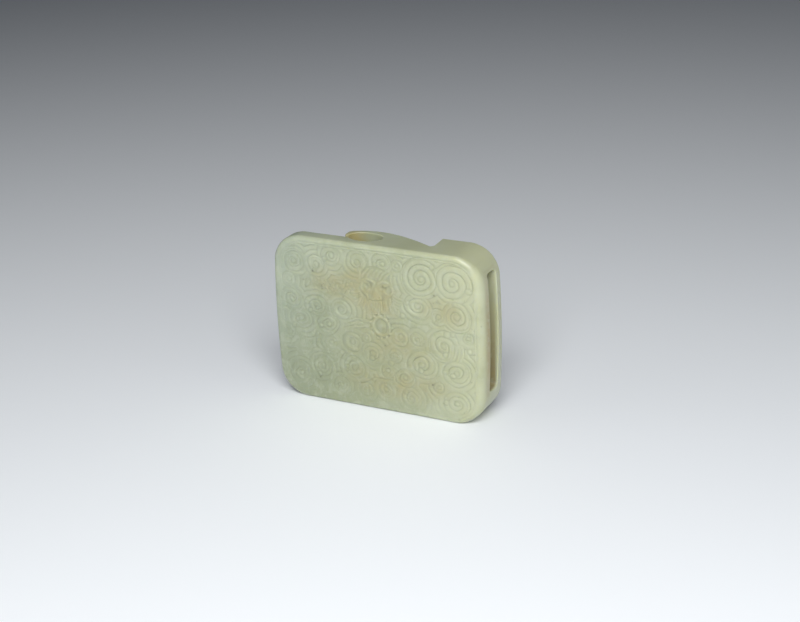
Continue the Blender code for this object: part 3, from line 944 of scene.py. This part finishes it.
    def _add_rim(self, shell: bpy.types.Object, inner: np.ndarray) -> None:
        """Extrude the face's edge, ring by ring, round to the side walls.

        Args:
            shell: the face.
            inner: the face's edge line.
        """
        width = self._rim_at_right(self.rim_width_right)[:, None]
        depth = self._rim_at_right(self.rim_depth_right)
        rings = []
        for ring in range(1, self.rim_rings + 1):
            angle = math.radians(90 * ring / self.rim_rings)
            rings.append((inner + self.out * width * math.sin(angle), depth * (1 - math.cos(angle))))
        rings.append((self.loop, np.full(len(inner), self.back_depth)))
        only(shell)
        bpy.ops.object.mode_set(mode="EDIT")
        bpy.ops.mesh.select_all(action="DESELECT")
        bpy.ops.mesh.select_non_manifold(
            extend=False, use_wire=False, use_multi_face=False, use_non_contiguous=False
        )
        tree = KDTree(len(inner))
        for number, (x, z) in enumerate(inner):
            tree.insert((x, self.front, z + self.middle_z), number)
        tree.balance()
        for line, back in rings:
            bpy.ops.mesh.extrude_region_move()
            mesh = bmesh.from_edit_mesh(shell.data)
            mesh.verts.ensure_lookup_table()
            order = self._place_ring(mesh, tree, line, back)
            tree = KDTree(len(line))
            for number, (x, z) in enumerate(line):
                tree.insert((x, self.front + back[number], z + self.middle_z), number)
            tree.balance()
        self._thin_ring(mesh, order)
        bmesh.update_edit_mesh(shell.data)
        bpy.ops.object.mode_set(mode="OBJECT")

    def _place_ring(
        self, mesh: bmesh.types.BMesh, tree: KDTree, line: np.ndarray, back: np.ndarray
    ) -> dict[int, int]:
        """Move the selected ring of vertices to its line.

        Args:
            mesh: the mesh in edit mode.
            tree: where the vertices are now, by their number round the outline.
            line: the line that they move to.
            back: how far behind the face each of its points lies.

        Returns:
            For each vertex its number round the outline.
        """
        order = {}
        for vertex in mesh.verts:
            if vertex.select:
                number = tree.find(vertex.co)[1]
                x, z = line[number]
                vertex.co = (x, self.front + back[number], z + self.middle_z)
                order[vertex.index] = number
        return order

    def _thin_ring(self, mesh: bmesh.types.BMesh, order: dict[int, int]) -> None:
        """Weld the last ring's vertices into every fourth, which the side walls start from.

        Args:
            mesh: the mesh in edit mode.
            order: for each vertex of the ring its number round the outline.
        """
        by_number = {number: mesh.verts[index] for index, number in order.items()}
        count = len(by_number)
        targets = {}
        for number, vertex in by_number.items():
            kept = round(number / self.thin_by) * self.thin_by % count
            if kept != number:
                targets[vertex] = by_number[kept]
        bmesh.ops.weld_verts(mesh, targetmap=targets)

    def back_ring(self) -> np.ndarray:
        """Return the shell's back edge.

        Returns:
            Places, one row each.
        """
        line = self.loop[::self.thin_by]
        depth = np.full(len(line), self.front + self.back_depth)
        return np.stack([line[:, 0], depth, line[:, 1] + self.middle_z], 1)


@dataclass
class BuckleBack:
    """The stone behind the carved front: plate, strap loop with its slot, groove, and hook with its eye."""

    front: float
    back: float
    right: float
    height: float
    plate: float = 0.0042
    slot_gap: float = 0.0050
    loop_width: float = 0.0159
    loop_draft: float = 0.0002
    loop_chamfer: float = 0.0006
    slot_length: float = 0.0320
    slot_bottom: float = 0.0083
    slot_corner: float = 0.0012
    slot_steps: int = 6
    groove_flat: float = 0.0007
    groove_rise: float = 0.0011
    hook_length: float = 0.0245
    hook_rise: float = 0.0066
    crest_from_tip: float = 0.0076
    tip_drop: float = 0.0023
    tip_round: float = 0.0006
    mouth: float = 0.0013
    eye_length: float = 0.0096
    eye_sink: float = 0.0015
    eye_back_wall: float = 0.0018
    eye_tip_wall: float = 0.0011
    back_rim: float = 0.0011
    back_rim_steps: int = 5
    edge: float = 0.00022
    edge_steps: int = 3
    edge_angle: float = 32.0
    flat_angle: float = 0.03
    hook_steps: int = 30
    eye_steps: int = 44
    beyond: float = 0.006

    @property
    def groove_x(self) -> float:
        """Return where the hook's back meets the groove's floor."""
        return self.right - self.loop_width - self.groove_flat

    @property
    def eye_depth(self) -> float:
        """Return the eye's size from front to back, which its walls leave."""
        return self.hook_rise - self.eye_back_wall + self.eye_sink

    def hook_back(self, distance: float) -> float:
        """Return the height of the hook's back above the front face.

        Args:
            distance: how far from the hook's tip.

        Returns:
            The height.
        """
        crest = self.plate + self.hook_rise
        if distance < self.crest_from_tip:
            return crest - self.tip_drop * (1 - distance / self.crest_from_tip) ** 2
        floor = self.plate + self.groove_rise
        share = (distance - self.crest_from_tip) / (self.hook_length - self.crest_from_tip)
        return floor + (crest - floor) * math.cos(share * math.pi / 2)

    def plan(self) -> Points:
        """Return the outline seen from above, which runs past the stone's sides.

        Returns:
            Points, as x and distance behind the face, counterclockwise.
        """
        depth = self.back - self.front
        beyond = self.beyond
        loop_left = self.right - self.loop_width
        tip = self.groove_x - self.hook_length
        eye_x = tip + self.eye_tip_wall + self.eye_length / 2
        eye_y = self.plate - self.eye_sink + self.eye_depth / 2
        lip = self.plate + self.mouth
        drafted = loop_left - self.loop_draft
        points = [(-self.right - beyond, -beyond), (self.right + beyond, -beyond)]
        points.append((self.right + beyond, depth + beyond))
        points.append((drafted + self.loop_chamfer + beyond, depth + beyond))
        points.append((drafted, depth - self.loop_chamfer))
        points.append((loop_left, self.plate + self.groove_rise + self.groove_flat))
        for step in range(self.hook_steps, 0, -1):
            distance = self.hook_length * step / self.hook_steps
            points.append((tip + distance, self.hook_back(distance)))
        points += arc(tip + self.tip_round, self.hook_back(0.0) - self.tip_round, self.tip_round, 110, 180, 4)
        points += arc(tip + self.tip_round, lip + self.tip_round, self.tip_round, 180, 270, 4)
        half = self.eye_depth / 2
        first = 180 - math.degrees(math.asin((lip - eye_y) / half))
        last = -180 + math.degrees(math.asin((eye_y - self.plate) / half))
        points += arc(eye_x, eye_y, self.eye_length / 2, first, last, self.eye_steps, half)
        return points + [(-self.right - beyond, self.plate)]

    def _plan_prism(self) -> bpy.types.Object:
        """Return the upright prism of the plan."""
        ring = np.array([(x, self.front + y, -self.beyond) for x, y in self.plan()])
        return extruded_outline("plan_prism", ring, Vector((0, 0, self.height + 2 * self.beyond)))

    def _slot_prism(self) -> bpy.types.Object:
        """Return the strap slot's cutter, which ramps out of the stone where it meets the groove.

        Returns:
            The cutter, a closed prism.
        """
        across = self.slot_gap / 2 - self.slot_corner
        up = self.slot_length / 2 - self.slot_corner
        corners: Points = []
        for turn, (side_x, side_z) in enumerate(((1, 1), (-1, 1), (-1, -1), (1, -1))):
            start = 90 * turn
            corners += arc(side_x * across, side_z * up, self.slot_corner, start, start + 90, self.slot_steps)
        loop = np.array(corners)
        depth = self.front + self.plate + self.slot_gap / 2
        middle = self.slot_bottom + self.slot_length / 2
        inner = self.groove_x - (loop[:, 0] + self.slot_gap / 2)
        ring = np.stack([inner, depth + loop[:, 0], middle + loop[:, 1]], 1)
        cutter = extruded_outline("slot_prism", ring, Vector((self.loop_width + 2 * self.beyond, 0, 0)))
        places = vertex_places(cutter)
        places[places[:, 0] > self.right, 0] = self.right + self.beyond
        place_vertices(cutter, places)
        return cutter

    def build(self, ring: np.ndarray) -> bpy.types.Object:
        """Build the stone behind the shell.

        Args:
            ring: the shell's back edge.

        Returns:
            The back, open at the front where the shell joins it.
        """
        depth = float(ring[0, 1])
        back = extruded_outline("buckle_back", ring, Vector((0, self.back - depth, 0)))
        self._round_rim(back)
        for label, operation, cutter in (
            ("plan", "INTERSECT", self._plan_prism()),
            ("strap_slot", "DIFFERENCE", self._slot_prism()),
        ):
            apply_modifier(back, label, "BOOLEAN", operation=operation, object=cutter, solver="EXACT")
            bpy.data.objects.remove(cutter, do_unlink=True)
        self._open_front(back, depth)
        apply_modifier(
            back, "soft_edges", "BEVEL", width=self.edge, segments=self.edge_steps, limit_method="ANGLE",
            angle_limit=math.radians(self.edge_angle), use_clamp_overlap=False,
            miter_outer="MITER_ARC", loop_slide=False,
        )
        self._match_ring(back, ring)
        return back

    def _match_ring(self, back: bpy.types.Object, ring: np.ndarray) -> None:
        """Split the open front's long edges where the shell's back edge has points, so that both close up.

        Args:
            back: the stone behind the shell.
            ring: the shell's back edge.
        """
        mesh = bmesh.new()
        mesh.from_mesh(back.data)
        rim = [edge for edge in mesh.edges if edge.is_boundary]
        added = 0
        for point in ring:
            place = Vector(point)
            if any((vertex.co - place).length < CLOSE for edge in rim for vertex in edge.verts):
                continue
            for edge in rim:
                nearest, share = intersect_point_line(place, edge.verts[0].co, edge.verts[1].co)
                if 0.0 < share < 1.0 and (nearest - place).length < CLOSE:
                    new_edge, vertex = bmesh.utils.edge_split(edge, edge.verts[0], share)
                    vertex.co = place
                    rim.append(new_edge)
                    added += 1
                    break
        mesh.to_mesh(back.data)
        mesh.free()
        LOG.info("seam: %d open edges, %d points added", len(rim), added)

    def _round_rim(self, back: bpy.types.Object) -> None:
        """Round the edge all round the back of the stone.

        Args:
            back: the stone behind the shell, still a plain prism.
        """
        only(back)
        bpy.ops.object.mode_set(mode="EDIT")
        bpy.ops.mesh.select_all(action="DESELECT")
        mesh = bmesh.from_edit_mesh(back.data)
        for edge in mesh.edges:
            if all(abs(vertex.co.y - self.back) < LEVEL for vertex in edge.verts):
                edge.select = True
        bmesh.update_edit_mesh(back.data)
        bpy.ops.mesh.bevel(offset=self.back_rim, segments=self.back_rim_steps, affect="EDGES")
        bpy.ops.object.mode_set(mode="OBJECT")

    def _open_front(self, back: bpy.types.Object, depth: float) -> None:
        """Take off the flat cap at the front and clear away needless edges.

        Args:
            back: the stone behind the shell.
            depth: where the cap lies.
        """
        only(back)
        bpy.ops.object.mode_set(mode="EDIT")
        bpy.ops.mesh.select_all(action="DESELECT")
        mesh = bmesh.from_edit_mesh(back.data)
        caps = [face for face in mesh.faces if all(abs(vertex.co.y - depth) < LEVEL for vertex in face.verts)]
        bmesh.ops.delete(mesh, geom=caps, context="FACES_ONLY")
        bmesh.update_edit_mesh(back.data)
        bpy.ops.mesh.select_all(action="SELECT")
        bpy.ops.mesh.remove_doubles(threshold=CLOSE)
        flat = math.radians(self.flat_angle)
        bpy.ops.mesh.dissolve_limited(angle_limit=flat, use_dissolve_boundaries=False)
        bpy.ops.object.mode_set(mode="OBJECT")


class Tone(Enum):
    """Colours of the stone, linear; some of them also serve as painted shade and painted light."""

    CELADON = (0.410, 0.440, 0.290, 1.0)
    # The cool and warm tones are partly the stone's own tone and partly painted shade and painted light, for
    # the darker left and the lighter right.
    COOL_AND_SHADED = (0.315, 0.370, 0.285, 1.0)
    WARM_AND_LIT = (0.510, 0.530, 0.350, 1.0)
    CLOUD = (0.520, 0.560, 0.430, 1.0)
    DEEP = (0.275, 0.305, 0.185, 1.0)
    RUSSET = (0.405, 0.370, 0.195, 1.0)
    STAIN = (0.330, 0.255, 0.110, 1.0)
    # An ochre stain, made light enough to stand in the hook's eye as painted light through its thin wall.
    OCHRE_AND_GLOW = (0.430, 0.350, 0.140, 1.0)
    SPECK = (0.050, 0.045, 0.025, 1.0)


class Wiring:
    """Adds a material's nodes and links them."""

    def __init__(self, tree: bpy.types.NodeTree) -> None:
        """Start in a tree, with the places of the surface in the stone's own frame."""
        self.tree = tree
        self.places = self.add("ShaderNodeTexCoord").outputs["Object"]

    def add(self, kind: str, **settings: object) -> bpy.types.Node:
        """Add a node.

        Args:
            kind: the node's type.
            settings: values set on the node.

        Returns:
            The node.
        """
        node = self.tree.nodes.new(kind)
        for name, value in settings.items():
            setattr(node, name, value)
        return node

    def feed(self, socket: bpy.types.NodeSocket, value: object) -> None:
        """Give a socket a value, or link another socket to it.

        Args:
            socket: the socket that takes it.
            value: the value or the other socket.
        """
        if isinstance(value, bpy.types.NodeSocket):
            self.tree.links.new(value, socket)
            return
        socket.default_value = value

    def maths(self, operation: str, first: object, second: object) -> bpy.types.NodeSocket:
        """Reckon with two values, and hold the result between 0 and 1.

        Args:
            operation: what is done with them.
            first: a value or a socket.
            second: a value or a socket.

        Returns:
            The result.
        """
        node = self.add("ShaderNodeMath", operation=operation, use_clamp=True)
        self.feed(node.inputs[0], first)
        self.feed(node.inputs[1], second)
        return node.outputs[0]

    def times(self, first: object, second: object) -> bpy.types.NodeSocket:
        """Return the product of two values."""
        return self.maths("MULTIPLY", first, second)

    def plus(self, first: object, second: object) -> bpy.types.NodeSocket:
        """Return the sum of two values."""
        return self.maths("ADD", first, second)

    def ramp(self, value: object, low: float, high: float) -> bpy.types.NodeSocket:
        """Turn a value into a soft share.

        Args:
            value: a value or a socket.
            low: the value that gives 0.
            high: the value that gives 1, which may be the lesser of the two.

        Returns:
            The share, 0 to 1.
        """
        node = self.add("ShaderNodeMapRange", interpolation_type="SMOOTHSTEP")
        self.feed(node.inputs["Value"], value)
        node.inputs["From Min"].default_value = low
        node.inputs["From Max"].default_value = high
        return node.outputs["Result"]

    def mix(self, share: object, first: object, second: object) -> bpy.types.NodeSocket:
        """Blend two colours.

        Args:
            share: how much of the second there is, 0 to 1.
            first: a colour or a socket.
            second: a colour or a socket.

        Returns:
            The blend.
        """
        node = self.add("ShaderNodeMix", data_type="RGBA")
        self.feed(node.inputs["Factor"], share)
        colours = [socket for socket in node.inputs if socket.type == "RGBA"]
        self.feed(colours[0], first)
        self.feed(colours[1], second)
        return next(socket for socket in node.outputs if socket.type == "RGBA")

    def noise(
        self, scale: float, detail: float, warp: float = 0.0, squeeze: Place = (1.0, 1.0, 1.0)
    ) -> bpy.types.NodeSocket:
        """Make a cloudy pattern.

        Args:
            scale: swells in a metre.
            detail: how many finer layers lie on the swells.
            warp: how far the pattern is twisted.
            squeeze: how much tighter it is along each axis.

        Returns:
            Values about one half.
        """
        placed = self.add("ShaderNodeMapping")
        self.feed(placed.inputs["Vector"], self.places)
        placed.inputs["Scale"].default_value = squeeze
        node = self.add("ShaderNodeTexNoise")
        self.feed(node.inputs["Vector"], placed.outputs["Vector"])
        node.inputs["Scale"].default_value = scale
        node.inputs["Detail"].default_value = detail
        node.inputs["Distortion"].default_value = warp
        return node.outputs["Fac"]

    def blot(self, centre: Place, size: Place) -> bpy.types.NodeSocket:
        """Make a soft mask in the shape of an ellipsoid.

        Args:
            centre: its middle.
            size: its half sizes.

        Returns:
            1 in its middle and 0 past its skin.
        """
        away = self.add("ShaderNodeVectorMath", operation="SUBTRACT")
        self.feed(away.inputs[0], self.places)
        away.inputs[1].default_value = centre
        shrunk = self.add("ShaderNodeVectorMath", operation="DIVIDE")
        self.feed(shrunk.inputs[0], away.outputs[0])
        shrunk.inputs[1].default_value = size
        length = self.add("ShaderNodeVectorMath", operation="LENGTH")
        self.feed(length.inputs[0], shrunk.outputs[0])
        return self.ramp(length.outputs["Value"], 1.0, 0.15)

    def blots(self, blots: Blots) -> bpy.types.NodeSocket:
        """Make one mask of several blots.

        Args:
            blots: each one's middle, half sizes and strength.

        Returns:
            The strongest of them at each place.
        """
        cover: object = 0.0
        for centre, size, strength in blots:
            cover = self.maths("MAXIMUM", cover, self.times(self.blot(centre, size), strength))
        return cover

    def layer(self, name: str) -> bpy.types.NodeSocket:
        """Return the values that the mesh carries under a name."""
        return self.add("ShaderNodeAttribute", attribute_name=name).outputs["Fac"]


@dataclass(frozen=True)
class Veil:
    """A cloudy pattern in a tone over the stone's colour, faint off the carved face unless it is all over."""

    tone: Tone
    scale: float
    detail: float
    low: float
    high: float
    strength: float
    warp: float = 0.0
    squeeze: Place = (1.0, 1.0, 1.0)
    all_over: bool = False

    def lay(
        self, wiring: Wiring, colour: bpy.types.NodeSocket, face: bpy.types.NodeSocket
    ) -> bpy.types.NodeSocket:
        """Lay the veil over a colour.

        Args:
            wiring: the material's nodes.
            colour: the colour below it.
            face: a mask of the carved face.

        Returns:
            The colour with the veil.
        """
        pattern = wiring.noise(self.scale, self.detail, self.warp, self.squeeze)
        cover = wiring.ramp(pattern, self.low, self.high)
        share = self.strength if self.all_over else wiring.times(face, self.strength)
        return wiring.mix(wiring.times(cover, share), colour, self.tone.value)


@dataclass(frozen=True)
class JadeFinish:
    """Polished pale celadon jade, cloudy, with russet tints, fine stains and dark specks, with painted shade
    in the grooves and low at the left, and a painted glow in the hook's eye.
    """

    roughness: float = 0.285
    roughness_swing: float = 0.08
    ior: float = 1.61
    subsurface: float = 0.75
    scatter: Place = (1.0, 0.95, 0.6)
    scatter_scale: float = 0.0012
    grain_scale: float = 1500.0
    grain_strength: float = 0.12
    grain_depth: float = 0.00006
    deepest: float = 0.40
    # Painted shade in the grooves: how far the deepest carving is darkened towards the deep tone.
    groove_painted_shade: float = 0.34
    # Painted shade low at the left: how much of the deep tone is laid there.
    painted_shade_low_left: float = 0.55
    off_face: float = 0.15
    broad_veils: tuple[Veil, ...] = (
        Veil(Tone.CLOUD, 75.0, 2.0, 0.40, 0.80, 0.50, all_over=True),
        Veil(Tone.DEEP, 130.0, 2.0, 0.45, 0.85, 0.35, squeeze=(1.0, 1.0, 1.7)),
    )
    fine_veils: tuple[Veil, ...] = (
        Veil(Tone.CLOUD, 420.0, 4.0, 0.46, 0.66, 0.30, warp=1.0),
        Veil(Tone.DEEP, 760.0, 3.0, 0.64, 0.76, 0.45, warp=0.6),
        Veil(Tone.CLOUD, 900.0, 4.0, 0.52, 0.72, 0.16, warp=1.2, squeeze=(1.0, 1.0, 0.45)),
    )
    russet_places: Blots = (
        ((-0.0070, -0.0060, 0.0340), (0.0190, 0.02, 0.0080), 0.75),
        ((0.0000, -0.0060, 0.0310), (0.0100, 0.02, 0.0105), 0.85),
        ((0.0190, -0.0060, 0.0300), (0.0110, 0.02, 0.0060), 0.55),
        ((0.0060, -0.0060, 0.0085), (0.0230, 0.02, 0.0070), 0.65),
        ((0.0040, -0.0060, 0.0190), (0.0200, 0.02, 0.0090), 0.55),
    )
    ochre_and_glow_places: Blots = (
        ((-0.0086, 0.0004, 0.0400), (0.0050, 0.0045, 0.0130), 0.95),
        ((0.0302, -0.0030, 0.0230), (0.0040, 0.0024, 0.0240), 0.80),
    )
    slot_bounds: tuple[tuple[str, float, float], ...] = (
        ("X", 0.0295, 0.0287), ("X", 0.0125, 0.0160), ("Y", -0.0027, -0.0024),
        ("Y", 0.0037, 0.0034), ("Z", 0.0071, 0.0074), ("Z", 0.0415, 0.0412),
    )

    def _russet(self, wiring: Wiring) -> bpy.types.NodeSocket:
        """Return where the stone is tinted russet, as soft uneven blots."""
        patchy = wiring.ramp(wiring.noise(240.0, 4.0, 0.6), 0.30, 0.66)
        return wiring.times(wiring.blots(self.russet_places), wiring.plus(wiring.times(patchy, 0.7), 0.3))

    def _ochre_and_glow(self, wiring: Wiring) -> bpy.types.NodeSocket:
        """Return where ochre sits: in the hook's eye towards the tip, as a stain brightened with painted
        light that stands in for light through the thin wall, and along the slot's front edge as a tint.
        """
        uneven = wiring.plus(wiring.ramp(wiring.noise(420.0, 4.0, 0.5), 0.25, 0.60), 0.35)
        return wiring.times(wiring.blots(self.ochre_and_glow_places), uneven)

    def _stone_colour(self, wiring: Wiring) -> bpy.types.NodeSocket:
        """Make the stone's colour: cool and darker at the left, warm and lighter at the right, partly its own
        tone and partly painted shade and painted light, with painted shade low at the left, clouds and
        flecks.

        Args:
            wiring: the material's nodes.

        Returns:
            The colour.
        """
        place = wiring.add("ShaderNodeSeparateXYZ")
        wiring.feed(place.inputs[0], wiring.places)
        across = place.outputs["X"]
        # Partly the stone's tone and partly painted light: the left is cooler and darker as painted shade,
        # the right warmer and lighter as painted light.
        colour = wiring.mix(wiring.ramp(across, -0.034, 0.000), Tone.COOL_AND_SHADED.value, Tone.CELADON.value)
        colour = wiring.mix(wiring.ramp(across, 0.004, 0.031), colour, Tone.WARM_AND_LIT.value)
        face = wiring.plus(wiring.ramp(place.outputs["Y"], -0.0045, -0.0058), self.off_face)
        for veil in self.broad_veils:
            colour = veil.lay(wiring, colour, face)
        # Painted shade: the face is darkened towards the deep tone low down and at the left, where less light
        # falls.
        low = wiring.ramp(place.outputs["Z"], 0.0360, 0.0020)
        left = wiring.ramp(across, 0.0280, -0.0080)
        colour = wiring.mix(wiring.times(low, wiring.times(left, self.painted_shade_low_left)), colour, Tone.DEEP.value)
        for veil in self.fine_veils:
            colour = veil.lay(wiring, colour, face)
        return colour

    def _slot_stain(self, wiring: Wiring) -> bpy.types.NodeSocket:
        """Find where brown stain sits on the strap slot's inner walls, more of it lower down.

        Args:
            wiring: the material's nodes.

        Returns:
            Its strength, 0 outside the slot.
        """
        place = wiring.add("ShaderNodeSeparateXYZ")
        wiring.feed(place.inputs[0], wiring.places)
        share = wiring.plus(wiring.times(wiring.ramp(place.outputs["Z"], 0.0380, 0.0090), 0.65), 0.12)
        uneven = wiring.plus(wiring.ramp(wiring.noise(420.0, 4.0, 0.5), 0.25, 0.60), 0.55)
        stain = wiring.times(share, uneven)
        for axis, outside, inside in self.slot_bounds:
            stain = wiring.times(stain, wiring.ramp(place.outputs[axis], outside, inside))
        return stain

    def material(self) -> bpy.types.Material:
        """Make the jade.

        Returns:
            A new material.
        """
        stone = bpy.data.materials.new("celadon_jade")
        stone.use_nodes = True
        shader = stone.node_tree.nodes["Principled BSDF"]
        wiring = Wiring(stone.node_tree)
        carved = wiring.ramp(wiring.layer("carved_depth"), 0.05, self.deepest)
        colour = wiring.mix(self._russet(wiring), self._stone_colour(wiring), Tone.RUSSET.value)
        # Painted shade: the carved hollows are darkened towards the deep tone by their depth, standing in for
        # the shade that falls in the grooves.
        colour = wiring.mix(wiring.times(carved, self.groove_painted_shade), colour, Tone.DEEP.value)
        # Ochre stain, lightened in the hook's eye as painted light that stands in for light shining through
        # its thin wall.
        colour = wiring.mix(self._ochre_and_glow(wiring), colour, Tone.OCHRE_AND_GLOW.value)
        colour = wiring.mix(self._slot_stain(wiring), colour, Tone.STAIN.value)
        colour = wiring.mix(wiring.layer("speckle"), colour, Tone.SPECK.value)
        wiring.feed(shader.inputs["Base Color"], colour)
        rub = wiring.ramp(wiring.noise(300.0, 4.0), 0.35, 0.70)
        rough = wiring.times(wiring.plus(rub, carved), self.roughness_swing)
        wiring.feed(shader.inputs["Roughness"], wiring.plus(rough, self.roughness))
        bump = wiring.add("ShaderNodeBump")
        bump.inputs["Strength"].default_value = self.grain_strength
        bump.inputs["Distance"].default_value = self.grain_depth
        wiring.feed(bump.inputs["Height"], wiring.noise(self.grain_scale, 5.0))
        wiring.feed(shader.inputs["Normal"], bump.outputs["Normal"])
        shader.inputs["IOR"].default_value = self.ior
        shader.inputs["Subsurface Weight"].default_value = self.subsurface
        shader.inputs["Subsurface Radius"].default_value = self.scatter
        shader.inputs["Subsurface Scale"].default_value = self.scatter_scale
        return stone


@dataclass(frozen=True)
class PaperFinish:
    """The plain pale surface under the buckle."""

    colour: tuple[float, float, float, float] = (0.90, 0.93, 0.96, 1.0)
    roughness: float = 0.7

    def material(self) -> bpy.types.Material:
        """Make the paper.

        Returns:
            A new material.
        """
        paper = bpy.data.materials.new("pale_floor")
        paper.use_nodes = True
        shader = paper.node_tree.nodes["Principled BSDF"]
        shader.inputs["Base Color"].default_value = self.colour
        shader.inputs["Roughness"].default_value = self.roughness
        return paper


@dataclass
class Buckle:
    """The whole buckle, built over its solid."""

    low: Vector
    high: Vector
    corner: float = 0.0080
    bow: float = 0.0004
    smooth_angle: float = 40.0

    def build(self) -> bpy.types.Object:
        """Build and dress the stone.

        Returns:
            The finished piece.
        """
        half_width = (self.high.x - self.low.x) / 2
        height = self.high.z - self.low.z
        outline = FaceOutline(half_width, height / 2, self.corner, self.bow)
        front = CarvedFront(outline, height / 2, self.low.y)
        shell = front.build()
        LOG.info("carved front: %d faces", len(shell.data.polygons))
        rest = BuckleBack(self.low.y, self.high.y, half_width, height)
        back = rest.build(front.back_ring())
        LOG.info("back: %d faces", len(back.data.polygons))
        return self._join(shell, back)

    def _join(self, shell: bpy.types.Object, back: bpy.types.Object) -> bpy.types.Object:
        """Join the shell and the back into one closed stone.

        Args:
            shell: the carved front.
            back: the stone behind it.

        Returns:
            The stone.
        """
        only(shell)
        back.select_set(True)
        bpy.ops.object.join()
        shell.name = "carved_jade_buckle"
        shell.data.name = shell.name
        bpy.ops.object.mode_set(mode="EDIT")
        bpy.ops.mesh.select_all(action="SELECT")
        bpy.ops.mesh.remove_doubles(threshold=CLOSE)
        bpy.ops.mesh.normals_make_consistent(inside=False)
        bpy.ops.object.mode_set(mode="OBJECT")
        bpy.ops.object.shade_smooth_by_angle(angle=math.radians(self.smooth_angle))
        apply_modifier(shell, "even_shading", "WEIGHTED_NORMAL", keep_sharp=True)
        return shell


@dataclass(frozen=True)
class SoftLight:
    """A soft rectangular light: where it hangs, the point that it faces, its sides and its power in watts."""

    name: str
    place: Place
    aim: Place
    wide: float
    tall: float
    power: float

    def hang(self) -> None:
        """Hang the light."""
        data = bpy.data.lights.new(self.name, "AREA")
        data.shape = "RECTANGLE"
        data.size = self.wide
        data.size_y = self.tall
        data.energy = self.power
        lamp = bpy.data.objects.new(self.name, data)
        bpy.context.scene.collection.objects.link(lamp)
        lamp.location = self.place
        lamp.rotation_euler = (Vector(self.aim) - Vector(self.place)).to_track_quat("-Z", "Y").to_euler()


@dataclass(frozen=True)
class Studio:
    """The floor, the lights and the camera."""

    camera_place: Place = (0.16676, -0.31914, 0.17163)
    camera_azimuth: float = 27.05
    camera_elevation: float = 22.09
    camera_roll: float = -2.07
    camera_lens: float = 67.39
    floor_size: float = 4.0
    sky: tuple[float, float, float, float] = (0.5, 0.6, 0.75, 1.0)
    sky_strength: float = 0.05
    lights: tuple[SoftLight, ...] = (
        SoftLight("key", (0.16, -0.34, 0.36), (0.01, -0.04, 0.01), 0.36, 0.30, 2.75),
        SoftLight("left_fill", (-0.45, -0.35, 0.25), (0.0, 0.0, 0.02), 0.4, 0.4, 0.25),
        SoftLight("right_fill", (0.42, -0.12, 0.20), (0.0, 0.0, 0.02), 0.3, 0.3, 0.20),
        SoftLight("top_fill", (-0.08, 0.04, 0.60), (0.0, 0.0, 0.02), 0.5, 0.4, 0.32),
    )

    def build(self) -> None:
        """Set up the studio."""
        self._floor()
        for light in self.lights:
            light.hang()
        world = bpy.data.worlds.new("studio")
        world.use_nodes = True
        background = world.node_tree.nodes["Background"]
        background.inputs["Color"].default_value = self.sky
        background.inputs["Strength"].default_value = self.sky_strength
        bpy.context.scene.world = world
        bpy.context.scene.view_settings.view_transform = "Standard"
        self._camera()

    def _floor(self) -> None:
        """Lay the floor."""
        bpy.ops.object.select_all(action="DESELECT")
        bpy.ops.mesh.primitive_plane_add(size=self.floor_size, location=(0, 0, 0))
        floor = bpy.context.object
        floor.name = "floor"
        floor.data.materials.append(PaperFinish().material())

    def _camera(self) -> None:
        """Set the camera at the photograph's viewing angle."""
        data = bpy.data.cameras.new("camera")
        data.lens = self.camera_lens
        camera = bpy.data.objects.new("camera", data)
        bpy.context.scene.collection.objects.link(camera)
        azimuth = math.radians(self.camera_azimuth)
        elevation = math.radians(self.camera_elevation)
        flat = math.cos(elevation)
        forward = Vector((-math.sin(azimuth) * flat, math.cos(azimuth) * flat, -math.sin(elevation)))
        right = Vector((math.cos(azimuth), math.sin(azimuth), 0.0))
        up = right.cross(forward)
        turn = Matrix((right, up, -forward)).transposed().to_4x4()
        roll = Matrix.Rotation(math.radians(self.camera_roll), 4, "Z")
        camera.matrix_world = Matrix.Translation(self.camera_place) @ turn @ roll
        bpy.context.scene.camera = camera


def main() -> None:
    """Build the buckle over its solid, with its studio."""
    logging.basicConfig(level=logging.INFO, format="%(name)s: %(message)s")
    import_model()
    stone = Buckle(*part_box(NODE)).build()
    stone.data.materials.clear()
    stone.data.materials.append(JadeFinish().material())
    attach(stone, "root")
    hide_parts(NODE)
    LOG.info("buckle: %d faces", len(stone.data.polygons))
    Studio().build()


if __name__ == "__main__":
    main()
